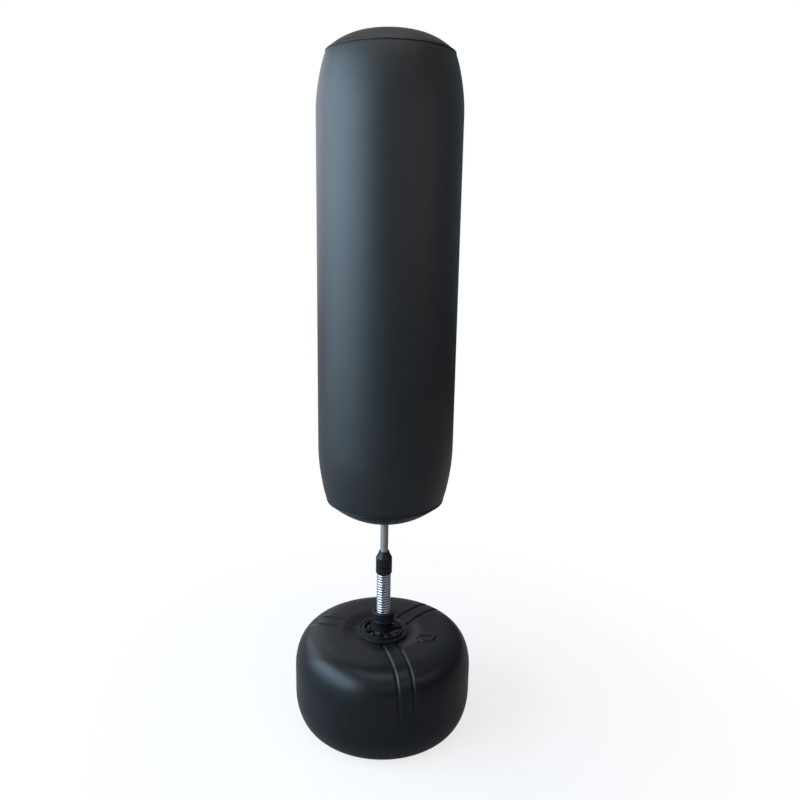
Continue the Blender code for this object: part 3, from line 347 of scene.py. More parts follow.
@dataclass(frozen=True)
class Metal(Finish):
    """Steel, chrome or brass, with the lines of its drawing or turning."""

    roughness: float = 0.3
    lines: Scale = (1.0, 1.0, 1.0)
    fineness: float = 900.0
    unevenness: float = 0.12
    depth: float = 0.000012
    stain_scale: float = 38.0
    stain_tint: float = 0.82
    stain_gloss: float = 0.06

    def paint(self, graph: Graph) -> None:
        """Fine lines, with stains that change the gloss a little."""
        streaks = graph.noise(graph.place(self.lines), self.fineness, 3.0)
        stains = graph.noise(graph.place(), self.stain_scale, 5.0, 0.65)
        colour = graph.mixed(stains.eased(0.35, 0.8), self.colour, self.shade(self.stain_tint))
        stained = stains.eased(0.45, 0.8) * self.stain_gloss
        graph.surface(
            Base_Color=colour, Metallic=1.0,
            Roughness=self.roughness + (streaks - 0.5) * self.unevenness + stained,
            Normal=graph.bump(streaks, self.depth, 0.6))


@dataclass(frozen=True)
class Rubber(Finish):
    """Dull rubber with a bloom of dust."""

    roughness: float = 0.62
    speckle_scale: float = 3200.0
    speckle_depth: float = 0.00004
    bloom_scale: float = 120.0
    bloom_tint: float = 1.9
    bloom_gloss: float = 0.2

    def paint(self, graph: Graph) -> None:
        """Fine speckle and dull patches."""
        where = graph.place()
        speckle = graph.noise(where, self.speckle_scale, 2.0)
        bloom = graph.noise(where, self.bloom_scale, 4.0, 0.65)
        graph.surface(
            Base_Color=graph.mixed(bloom.eased(0.4, 0.8), self.colour, self.shade(self.bloom_tint)),
            Roughness=self.roughness + bloom * self.bloom_gloss,
            Normal=graph.bump(speckle, self.speckle_depth, 0.7))


@dataclass(frozen=True)
class Twill(Finish):
    """The woven tape of a zip, or sewing thread, with slanting ribs."""

    ribs: float = 5200.0
    slopes: tuple[float, float] = (0.6, 0.25)
    picks: float = 1.3
    fuzz_scale: float = 1500.0
    fuzz_share: float = 0.3
    # the colour darkens to the first tint in the weave's hollows and lightens to the second on its ribs:
    # painted shade and highlight
    tints: tuple[float, float] = (0.55, 1.5)
    depth: float = 0.00012
    roughness: float = 0.8
    fuzz_gloss: float = 0.12

    def paint(self, graph: Graph) -> None:
        """Ribs that slant over the weave, with painted shade in its hollows and painted highlight on its
        ribs, and loose fuzz.
        """
        where = graph.place()
        dark, light = self.tints
        slant = (where.part("X") + where.part("Z") * self.slopes[0]) * self.ribs
        across = (where.part("Z") - where.part("X") * self.slopes[1]) * (self.ribs * self.picks)
        weave = slant.sine() * 0.35 + across.sine() * 0.15 + 0.5
        fuzz = graph.noise(where, self.fuzz_scale, 3.0)
        # painted shade and highlight: the colour follows the weave's relief, darker in its hollows and
        # lighter on its ribs
        graph.surface(
            Base_Color=graph.mixed(weave * 0.7 + fuzz * self.fuzz_share, self.shade(dark), self.shade(light)),
            Roughness=self.roughness + fuzz * self.fuzz_gloss,
            Normal=graph.bump(weave + fuzz * self.fuzz_share, self.depth, 0.8),
            Sheen_Weight=0.15, Sheen_Roughness=0.4)


@dataclass(frozen=True)
class Vinyl(Finish):
    """The bladder's soft sheet."""

    roughness: float = 0.34
    ripple_scale: float = 34.0
    ripple_stretch: Scale = (1.0, 1.0, 0.4)
    ripple_depth: float = 0.0012
    cloud_scale: float = 12.0
    cloud_gloss: float = 0.14
    tints: tuple[float, float] = (0.9, 1.1)

    def paint(self, graph: Graph) -> None:
        """Slight ripples and cloudy gloss."""
        where = graph.place()
        dark, light = self.tints
        ripples = graph.noise(graph.place(self.ripple_stretch), self.ripple_scale, 3.0)
        cloud = graph.noise(where, self.cloud_scale, 3.0)
        graph.surface(
            Base_Color=graph.mixed(cloud.eased(0.3, 0.7), self.shade(dark), self.shade(light)),
            Roughness=self.roughness + cloud * self.cloud_gloss,
            Normal=graph.bump(ripples, self.ripple_depth, 0.5))


class Slot(Enum):
    """The record's material slots."""

    TANK = "tank_plastic"
    HUB = "hub_plastic"
    CHROME = "chrome_wire"
    STEEL = "satin_steel"
    DARK = "dark_steel"
    BRASS = "brass"
    LEATHER = "leatherette"
    RUBBER = "rubber"
    VINYL = "bladder_vinyl"
    TAPE = "zip_tape"


FINISHES: dict[Slot, Finish] = {
    Slot.TANK: MouldedPlastic("tank_plastic_look", (0.0105, 0.0110, 0.0122)),
    Slot.HUB: MouldedPlastic("hub_plastic_look", (0.0115, 0.0115, 0.0125), pebble=1900.0, depth=0.00003,
                             roughness=0.33, marks=0.6),
    Slot.CHROME: Metal("chrome_look", (0.55, 0.56, 0.61), roughness=0.2, lines=(1.0, 1.0, 6.0),
                       fineness=420.0),
    Slot.STEEL: Metal("drawn_steel_look", (0.44, 0.40, 0.375), roughness=0.6, lines=(1.0, 1.0, 0.012),
                      fineness=2400.0),
    Slot.DARK: Metal("black_oxide_look", (0.085, 0.085, 0.09), roughness=0.34, fineness=1500.0),
    Slot.BRASS: Metal("brass_look", (0.60, 0.43, 0.18), roughness=0.28, fineness=1500.0),
    Slot.LEATHER: Leatherette("leatherette_look", (0.0145, 0.0150, 0.0158)),
    Slot.RUBBER: Rubber("rubber_look", (0.014, 0.014, 0.0145)),
    Slot.VINYL: Vinyl("vinyl_look", (0.20, 0.20, 0.21)),
    Slot.TAPE: Twill("zip_tape_look", (0.014, 0.014, 0.015)),
}
THREAD = Twill("thread_look", (0.020, 0.020, 0.022), ribs=9000.0)


def in_scene(name: str, data: bpy.types.ID) -> Piece:
    """Makes an object out of a mesh, a lamp or a camera and sets it in the scene.

    Args:
        name: the object's name.
        data: the mesh, lamp or camera.

    Returns:
        The object.
    """
    obj = bpy.data.objects.new(name, data)
    bpy.context.scene.collection.objects.link(obj)
    return obj


def as_mesh(name: str, bm: Shape) -> bpy.types.Mesh:
    """Makes a mesh out of a bmesh, which is freed.

    Args:
        name: the mesh's name.
        bm: the bmesh.

    Returns:
        The mesh.
    """
    mesh = bpy.data.meshes.new(name)
    bm.to_mesh(mesh)
    bm.free()
    return mesh


def discard(obj: Piece) -> None:
    """Removes an object and its mesh."""
    mesh = obj.data
    bpy.data.objects.remove(obj, do_unlink=True)
    bpy.data.meshes.remove(mesh)


def on_circle(radius: float, angle: float) -> tuple[float, float]:
    """The point at a radius and an angle in radians."""
    return radius * math.cos(angle), radius * math.sin(angle)


def around(count: int, phase_deg: float = 0.0) -> list[float]:
    """Angles in radians, evenly round the axis."""
    return [math.radians(phase_deg) + 2 * math.pi * k / count for k in range(count)]


def between(start: float, end: float, count: int) -> list[float]:
    """Values that part a stretch into equal steps, without its ends."""
    return [start + (end - start) * k / count for k in range(1, count)]


def sampled(curve: Callable[[float], tuple[float, float]], count: int) -> Outline:
    """Points of a curve from 0 to 1, both ends included."""
    return [curve(k / (count - 1)) for k in range(count)]


def corner(r: float, z: float, steps: Steps) -> Outline:
    """The points that round or break a corner, each given by its step from it."""
    return [(r + out, z + up) for out, up in steps]


def eased(value: float, low: float, high: float) -> float:
    """A smooth step from 0, at low, to 1, at high."""
    t = min(1.0, max(0.0, (value - low) / (high - low)))
    return t * t * (3 - 2 * t)


class Join(Enum):
    """What one closed mesh does to another."""

    ADD = "UNION"
    CUT = "DIFFERENCE"


@dataclass
class Workshop:
    """Makes finished pieces out of meshes and sets them on their bodies."""

    fold_deg: float = 28.0
    crease_deg: float = 42.0

    def finished(self, name: str, bm: Shape, slot: Slot, body: str | None = None,
                 stands_for: Sequence[str] = (), weighted: bool = True, finish: Finish | None = None,
                 wall: float = 0.0) -> Piece:
        """Turns a bmesh into a dressed piece.

        Args:
            name: the piece's name.
            bm: its mesh, which is freed.
            slot: the record's material slot.
            body: the CAD body that it rides on; None leaves it unattached.
            stands_for: the CAD nodes that it replaces.
            weighted: whether large faces rule the shading beside narrow ones, and sharp edges stay crisp.
            finish: another finish than the slot's own.
            wall: thickness that an open sheet gets on its inner side.

        Returns:
            The object.
        """
        for face in bm.faces:
            face.smooth = True
        if weighted:
            limit = math.radians(self.crease_deg)
            for edge in bm.edges:
                edge.smooth = len(edge.link_faces) != 2 or edge.calc_face_angle(0.0) < limit
        mesh = as_mesh(name, bm)
        mesh.materials.append((finish or FINISHES[slot]).material())
        obj = in_scene(name, mesh)
        if wall:
            thick = obj.modifiers.new("Wall", "SOLIDIFY")
            thick.thickness, thick.offset, thick.use_even_offset = wall, -1.0, True
        if weighted:
            normals = obj.modifiers.new("Even shading", "WEIGHTED_NORMAL")
            normals.keep_sharp = True
        if stands_for:
            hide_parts(*stands_for)
        if body:
            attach(obj, body)
        LOG.info("%s: %d faces", name, len(mesh.polygons))
        return obj

    def dress(self, node: str, slot: Slot) -> None:
        """Gives a CAD node that stays its procedural finish.

        Args:
            node: the node's name.
            slot: the record's material slot.
        """
        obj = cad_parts[node]
        if not obj.material_slots:
            obj.data.materials.append(None)
        for place in obj.material_slots:
            place.material = FINISHES[slot].material()

    def turned(self, outline: Outline, steps: int = 96, edge: float = 0.0, segments: int = 3,
               closed: bool = True) -> Shape:
        """Spins an outline round the Z axis.

        Args:
            outline: radius and height of each point, down the outer side and back up the inner one.
            steps: faces round the axis.
            edge: width of the bevel on every sharp ring, or 0.
            segments: faces across that bevel.
            closed: whether the last point joins the first where neither is on the axis.

        Returns:
            The mesh, with its faces outwards.
        """
        bm = bmesh.new()
        verts = [bm.verts.new((r, 0.0, z)) for r, z in outline]
        edges = [bm.edges.new(pair) for pair in zip(verts, verts[1:])]
        if closed and (outline[0][0] > WELD or outline[-1][0] > WELD):
            edges.append(bm.edges.new((verts[-1], verts[0])))
        bmesh.ops.spin(bm, geom=verts + edges, axis=(0, 0, 1), cent=(0, 0, 0), angle=2 * math.pi,
                       steps=steps, use_merge=True)
        bmesh.ops.remove_doubles(bm, verts=bm.verts, dist=WELD)
        bmesh.ops.recalc_face_normals(bm, faces=bm.faces)
        if edge:
            self.soften(bm, edge, segments)
        return bm

    def tube(self, outer: float, inner: float, low: float, high: float, steps: int, edge: float,
             segments: int = 2) -> Shape:
        """Makes a plain tube or ring.

        Args:
            outer: its outer radius.
            inner: its inner radius.
            low: height of its lower face.
            high: height of its upper face.
            steps: faces round the axis.
            edge: width of the bevel on its four rims.
            segments: faces across that bevel.

        Returns:
            The mesh.
        """
        return self.turned([(outer, high), (outer, low), (inner, low), (inner, high)], steps, edge, segments)

    def drums(self, radius: float, low: float, high: float, steps: int,
              places: Sequence[tuple[float, float]] = ((0.0, 0.0),)) -> Shape:
        """Makes upright cylinders.

        Args:
            radius: the radius of each.
            low: height of their lower ends.
            high: height of their upper ends.
            steps: faces round each.
            places: where each stands.

        Returns:
            One mesh of them all.
        """
        bm = bmesh.new()
        for x, y in places:
            place = Matrix.Translation((x, y, (low + high) / 2))
            bmesh.ops.create_cone(bm, cap_ends=True, segments=steps, radius1=radius, radius2=radius,
                                  depth=high - low, matrix=place)
        return bm

    def block(self, bm: Shape, size: Sequence[float], centre: Sequence[float],
              turn: float = 0.0) -> list[Vertex]:
        """Adds a box about a point, turned about the Z axis, and returns its vertices."""
        place = Matrix.Rotation(turn, 4, "Z") @ Matrix.Translation(centre) @ Matrix.Diagonal((*size, 1.0))
        return bmesh.ops.create_cube(bm, size=1.0, matrix=place)["verts"]

    def boxed(self, size: Sequence[float], centre: Sequence[float]) -> Shape:
        """Makes one box about a point.

        Args:
            size: its three sides.
            centre: the point.

        Returns:
            Its mesh.
        """
        bm = bmesh.new()
        self.block(bm, size, centre)
        return bm

    def strewn(self, shape: Shape, places: Sequence[Matrix]) -> Shape:
        """Sets a copy of one small shape at every place.

        Args:
            shape: the shape, which is freed.
            places: where each copy goes.

        Returns:
            One mesh of all the copies.
        """
        mesh = bpy.data.meshes.new("shape")
        bm = bmesh.new()
        for place in places:
            shape.to_mesh(mesh)
            mesh.transform(place)
            bm.from_mesh(mesh)
        shape.free()
        bpy.data.meshes.remove(mesh)
        return bm

    def moved(self, bm: Shape, place: Matrix) -> Shape:
        """Moves a whole mesh and returns it."""
        bmesh.ops.transform(bm, matrix=place, verts=bm.verts)
        return bm

    def shifted(self, bm: Shape, move: Callable[[Vertex], Vector]) -> None:
        """Moves each vertex by what a function gives, which is worked out for all of them first.

        Args:
            bm: the mesh.
            move: gives a vertex's move.
        """
        bm.normal_update()
        moves = [(vert, move(vert)) for vert in bm.verts]
        for vert, by in moves:
            vert.co += by

    def scored(self, bm: Shape, near: list[bmesh.types.BMFace], point: Sequence[float],
               normal: Sequence[float], dist: float = 1e-5) -> None:
        """Adds edge lines where a plane crosses some faces.

        Args:
            bm: the mesh.
            near: the faces that the plane may cross.
            point: a point of the plane.
            normal: its direction.
            dist: how near a vertex counts as on the plane.
        """
        geometry = near + list({e for f in near for e in f.edges}) + list({v for f in near for v in f.verts})
        bmesh.ops.bisect_plane(bm, geom=geometry, dist=dist, plane_co=point, plane_no=normal)

    def bevelled(self, bm: Shape, edges: list[Edge], width: float, segments: int,
                 clamped: bool = True) -> None:
        """Bevels some edges.

        Args:
            bm: the mesh.
            edges: the edges.
            width: the bevel's width.
            segments: faces across it.
            clamped: whether bevels stop where they would meet.
        """
        bmesh.ops.bevel(bm, geom=edges, offset=width, offset_type="OFFSET", segments=segments, profile=0.5,
                        affect="EDGES", clamp_overlap=clamped, material=-1)

    def soften(self, bm: Shape, width: float, segments: int = 2,
               where: Callable[[Edge], bool] | None = None) -> None:
        """Bevels every sharp edge.

        Args:
            bm: the mesh.
            width: the bevel's width.
            segments: faces across it.
            where: which edges count, or all.
        """
        limit = math.radians(self.fold_deg)
        sharp = [e for e in bm.edges if len(e.link_faces) == 2 and e.calc_face_angle(0.0) > limit
                 and (where is None or where(e))]
        self.bevelled(bm, sharp, width, segments)

    def rounded(self, bm: Shape, radius: float, along: str, segments: int = 5,
                clamped: bool = True) -> None:
        """Rounds the edges that run along one axis.

        Args:
            bm: the mesh.
            radius: how far each edge is cut back.
            along: the axis, X, Y or Z.
            segments: faces across the rounding.
            clamped: whether roundings stop where they would meet.
        """
        axis = "XYZ".index(along)
        edges = [e for e in bm.edges
                 if abs(e.verts[0].co[axis] - e.verts[1].co[axis]) > 0.9 * e.calc_length()]
        self.bevelled(bm, edges, radius, segments, clamped)

    def finer(self, obj: Piece) -> None:
        """Adds one level of subdivision."""
        change = obj.modifiers.new("Finer", "SUBSURF")
        change.levels = change.render_levels = 1

    def baked(self, bm: Shape, dress: Callable[[Piece], None],
              frames: int = 0) -> Shape:
        """Runs modifiers on a mesh and applies them.

        Args:
            bm: the mesh, which is freed.
            dress: adds the modifiers to an object.
            frames: how many frames a simulation runs.

        Returns:
            The new mesh.
        """
        obj = in_scene("blank", as_mesh("blank", bm))
        dress(obj)
        for frame_number in range(1, frames + 1):
            bpy.context.scene.frame_set(frame_number)
        graph = bpy.context.evaluated_depsgraph_get()
        result = bmesh.new()
        result.from_mesh(obj.evaluated_get(graph).to_mesh())
        if frames:
            bpy.context.scene.frame_set(1)
        discard(obj)
        return result

    def joined(self, bm: Shape, other: Shape,
               way: Join = Join.ADD) -> Shape:
        """Adds one closed mesh to another, or cuts it away.

        Args:
            bm: the mesh to change, which is freed.
            other: the one added or cut away, which is freed.
            way: which of the two.

        Returns:
            The new mesh.
        """
        tool = in_scene("tool", as_mesh("tool", other))

        def cut(obj: Piece) -> None:
            """Adds the Boolean modifier."""
            change = obj.modifiers.new("Cut", "BOOLEAN")
            change.operation, change.object, change.solver = way.value, tool, "EXACT"

        result = self.baked(bm, cut)
        bmesh.ops.remove_doubles(result, verts=result.verts, dist=WELD)
        discard(tool)
        return result


SHOP = Workshop()


@dataclass
class Tank:
    """The blow-moulded base with its grooves and filler neck."""

    radius: float = 0.225
    foot_radius: float = 0.186
    foot_inner: float = 0.120
    foot_step: float = 0.010
    foot_round: float = 0.0030
    recess: float = 0.006
    recess_middle: float = 0.05
    low_round: float = 0.084
    side_top: float = 0.150
    crown: float = 0.2375
    crown_radius: float = 0.125
    shoulder_power: float = 3.7
    dish_radius: float = 0.108
    seat: float = 0.2310
    seat_radius: float = 0.0695
    seat_rings: tuple[float, ...] = (0.0, 0.03, 0.055)
    seat_thickness: float = 0.018
    seat_flare: float = 0.004
    seat_drop: float = 0.014
    ring_steps: int = 6
    wall: float = 0.005
    groove_azimuths: tuple[float, ...] = (-75.0, 45.0, 165.0)
    groove_middles: tuple[float, float] = (-0.019, 0.019)
    groove_half_width: float = 0.0042
    groove_depth: float = 0.0034
    groove_lines: tuple[float, ...] = (
        -1.7, -1.25, -1.0, -0.75, -0.5, -0.25, 0.0, 0.25, 0.5, 0.75, 1.0, 1.25, 1.7)
    groove_power: float = 2.6
    groove_full: float = 0.158
    groove_end: float = 0.092
    groove_inner: float = 0.03
    groove_margin: float = 0.01
    lip_height: float = 0.10
    lip_place: float = 1.55
    lip_width: float = 0.28
    scored_beside: float = 0.02
    scored_from: float = 0.04865
    scored_above: float = 0.05
    foot_band: float = 0.02
    cut_past: float = 0.01
    steps: int = 180
    filler_at: tuple[float, float] = (0.10968, -0.03458)
    bore: float = 0.0185
    filler_floor: float = 0.2333
    filler_room: float = 0.0252
    neck_wall: float = 0.006
    neck_length: float = 0.020
    room_rim: Steps = ((0.0025, 0.0002), (0.0011, -0.0001), (0.0004, -0.0006), (0.0, -0.0014))
    room_foot: Steps = ((-0.0002, 0.0004), (-0.0008, 0.0))
    bore_rim: Steps = ((0.0012, 0.0), (0.0003, -0.0004), (0.0, -0.0014))

    def dish(self, t: float) -> tuple[float, float]:
        """The shallow dish round the flange: 0 at the seat, 1 at the crown."""
        return (self.seat_radius + (self.dish_radius - self.seat_radius) * t,
                self.seat + (self.crown - self.seat) * t * t * (3 - 2 * t))

    def shoulder(self, t: float) -> tuple[float, float]:
        """The shoulder, flat at the crown and rounder towards the side: 0 at the crown, 1 at the side."""
        a = t * math.pi / 2
        grown = math.sin(a) ** (2 / self.shoulder_power)
        return (self.crown_radius + (self.radius - self.crown_radius) * grown,
                self.side_top + (self.crown - self.side_top) * math.cos(a))

    def lower(self, t: float) -> tuple[float, float]:
        """The rounding under the side: 0 at the side, 1 at the foot."""
        a = t * math.pi / 2
        return (self.foot_radius + (self.radius - self.foot_radius) * math.cos(a),
                self.low_round * (1 - math.sin(a)))

    def skin(self) -> Outline:
        """The outer profile from the middle of the seat to the foot."""
        flat = [(r, self.seat) for r in self.seat_rings]
        crown = [(r, self.crown) for r in between(self.dish_radius, self.crown_radius, self.ring_steps)]
        side = [(self.radius, z) for z in between(self.side_top, self.low_round, self.ring_steps)]
        shoulder = sampled(self.shoulder, 34)[1:]
        return flat + sampled(self.dish, 14) + crown + shoulder + side + sampled(self.lower, 22)

    def hollow(self) -> Shape:
        """Makes the shape of the room inside, which leaves the wall."""
        ceiling, floor = self.crown - self.wall, self.recess + self.wall
        seat = self.seat - self.seat_thickness
        return SHOP.turned(
            [(0.0, seat), (self.seat_radius - self.wall, seat),
             (self.seat_radius + self.seat_flare, self.crown - self.seat_drop), (self.dish_radius, ceiling),
             (self.crown_radius, ceiling)]
            + [(r - self.wall * 0.8, z - self.wall * 0.6) for r, z in sampled(self.shoulder, 9)[1:]]
            + [(r - self.wall, z + self.wall * 0.4) for r, z in sampled(self.lower, 9)[:-1]]
            + [(self.foot_radius - self.wall, floor), (0.0, floor)], 60)

    def room(self, low: float) -> Shape:
        """Makes the shape that the filler cap and the neck's bore take out, down to a height.

        Args:
            low: height of the neck's lower end.

        Returns:
            The shape.
        """
        above = self.crown + self.cut_past
        bm = SHOP.turned([(0.0, above), (self.filler_room + self.room_rim[0][0], above)]
                         + corner(self.filler_room, self.crown, self.room_rim)
                         + corner(self.filler_room, self.filler_floor, self.room_foot)
                         + corner(self.bore, self.filler_floor, self.bore_rim)
                         + [(self.bore, low - self.cut_past), (0.0, low - self.cut_past)], 96)
        return SHOP.moved(bm, Matrix.Translation((*self.filler_at, 0.0)))

    def score_grooves(self, bm: Shape) -> None:
        """Adds edge lines along both sides of each groove and down its middle.

        Args:
            bm: the skin.
        """
        for azimuth in self.groove_azimuths:
            turn = math.radians(azimuth)
            along = Vector((math.cos(turn), math.sin(turn), 0))
            across = Vector((-math.sin(turn), math.cos(turn), 0))
            for middle in self.groove_middles:
                for line in self.groove_lines:
                    near = [face for face, centre in ((f, f.calc_center_median()) for f in bm.faces)
                            if centre.dot(along) > self.scored_from and centre.z > self.scored_above
                            and abs(centre.dot(across) - middle) < self.scored_beside]
                    SHOP.scored(bm, near, across * (middle + self.groove_half_width * line), across)

    def sunk(self, vert: Vertex) -> Vector:
        """How far a point of the skin moves in a groove, or on the lip beside one.

        Args:
            vert: the point.

        Returns:
            Its move.
        """
        depth = 0.0
        edge = self.groove_lines[-1]
        for azimuth in self.groove_azimuths:
            turn = math.radians(azimuth)
            along = vert.co.x * math.cos(turn) + vert.co.y * math.sin(turn)
            across = -vert.co.x * math.sin(turn) + vert.co.y * math.cos(turn)
            if along < self.groove_inner or vert.co.z < self.groove_end - self.groove_margin:
                continue
            fade = eased(vert.co.z, self.groove_end, self.groove_full)
            for middle in self.groove_middles:
                x = abs(across - middle) / self.groove_half_width
                valley = math.cos(min(x, edge) / edge * math.pi / 2) ** self.groove_power
                lip = self.lip_height * math.exp(-((x - self.lip_place) / self.lip_width) ** 2)
                depth = max(depth, (valley - lip) * fade, key=abs)
        return vert.normal * (-depth * self.groove_depth)

    def to_true_round(self, bm: Shape) -> None:
        """Puts the vertices that scoring left on flat facets back on the round skin.

        Args:
            bm: the skin.
        """
        skin = self.skin()
        for vert in bm.verts:
            x, y, z = vert.co
            flat = math.hypot(x, y)
            sloping = flat > self.dish_radius and z < self.crown - 1e-7 or flat > self.radius * 0.98
            if z < self.scored_above or not sloping:
                continue
            for (r0, z0), (r1, z1) in zip(skin, skin[1:]):
                if z1 <= z <= z0 and z0 - z1 > 1e-9:
                    want = r0 + (r1 - r0) * (z0 - z) / (z0 - z1)
                    vert.co.xy = x * (want / flat), y * (want / flat)
                    break

    def build(self) -> None:
        """Makes the tank as one closed shell, with its neck open for the plug."""
        low = self.filler_floor - self.neck_length
        underside = [(self.foot_inner, 0.0), (self.foot_inner - self.foot_step, self.recess),
                     (self.recess_middle, self.recess), (0.0, self.recess)]
        bm = SHOP.turned(self.skin() + underside, self.steps)
        SHOP.soften(bm, self.foot_round, 4, lambda edge: all(v.co.z < self.foot_band for v in edge.verts))
        self.score_grooves(bm)
        self.to_true_round(bm)
        SHOP.shifted(bm, self.sunk)
        neck = SHOP.drums(self.bore + self.neck_wall, low, self.crown + self.cut_past, 48, [self.filler_at])
        bm = SHOP.joined(bm, SHOP.joined(self.hollow(), neck, Join.CUT), Join.CUT)
        bm = SHOP.joined(bm, self.room(low), Join.CUT)
        SHOP.finished("tank_shell", bm, Slot.TANK, "base", ["base_tank"])
        for number in range(1, 7):
            SHOP.dress(f"base_insert_{number}", Slot.BRASS)


@dataclass
class FillerCap:
    """The screwed plug of the filler neck and its gasket."""

    at: tuple[float, float] = Tank.filler_at
    radius: float = 0.0240
    top: float = 0.2393
    rim: Steps = ((-0.0030, 0.0), (-0.0018, -0.0002), (-0.0009, -0.0007), (-0.0003, -0.0014), (0.0, -0.0024))
    low: float = 0.2357
    stub: float = 0.0181
    stub_low: float = 0.2143
    stub_wall: float = 0.0045
    thread: Steps = ((-0.0009, 0.0), (0.0, -0.0010), (0.0, -0.0016), (-0.0009, -0.0026))
    thread_pitch: float = 0.0040
    slot: tuple[float, float, float] = (0.030, 0.0040, 0.0028)
    slot_round: float = 0.0019
    seal_gap: float = 0.0003
    seal_round: float = 0.0005

    def build(self) -> None:
        """Makes the plug, with its coin slot and a threaded stub, and the gasket."""
        root = self.stub + self.thread[0][0]
        inner = self.stub - self.stub_wall
        outline = [(0.0, self.top)] + corner(self.radius, self.top, self.rim)
        outline += [(self.radius, self.low), (root, self.low)]
        z = self.low - self.thread_pitch
        while z > self.stub_low + self.thread_pitch:
            outline += corner(self.stub, z, self.thread)
            z -= self.thread_pitch
        outline += [(root, self.stub_low), (inner, self.stub_low), (inner, self.low), (0.0, self.low)]
        slot = SHOP.boxed(self.slot, (0.0, 0.0, self.top))
        SHOP.rounded(slot, self.slot_round, "Z", 6, clamped=False)
        bm = SHOP.joined(SHOP.turned(outline, 96), slot, Join.CUT)
        place = Matrix.Translation((*self.at, 0.0))
        SHOP.finished("filler_cap", SHOP.moved(bm, place), Slot.HUB, "plug", ["filler_plug"],
                      finish=FINISHES[Slot.TANK])
        low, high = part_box("filler_gasket")
        ring = SHOP.tube((high.x - low.x) / 2, self.stub + self.seal_gap, low.z, high.z, 72,
                         self.seal_round, 3)
        SHOP.finished("filler_seal", SHOP.moved(ring, place), Slot.RUBBER, "gasket", ["filler_gasket"])


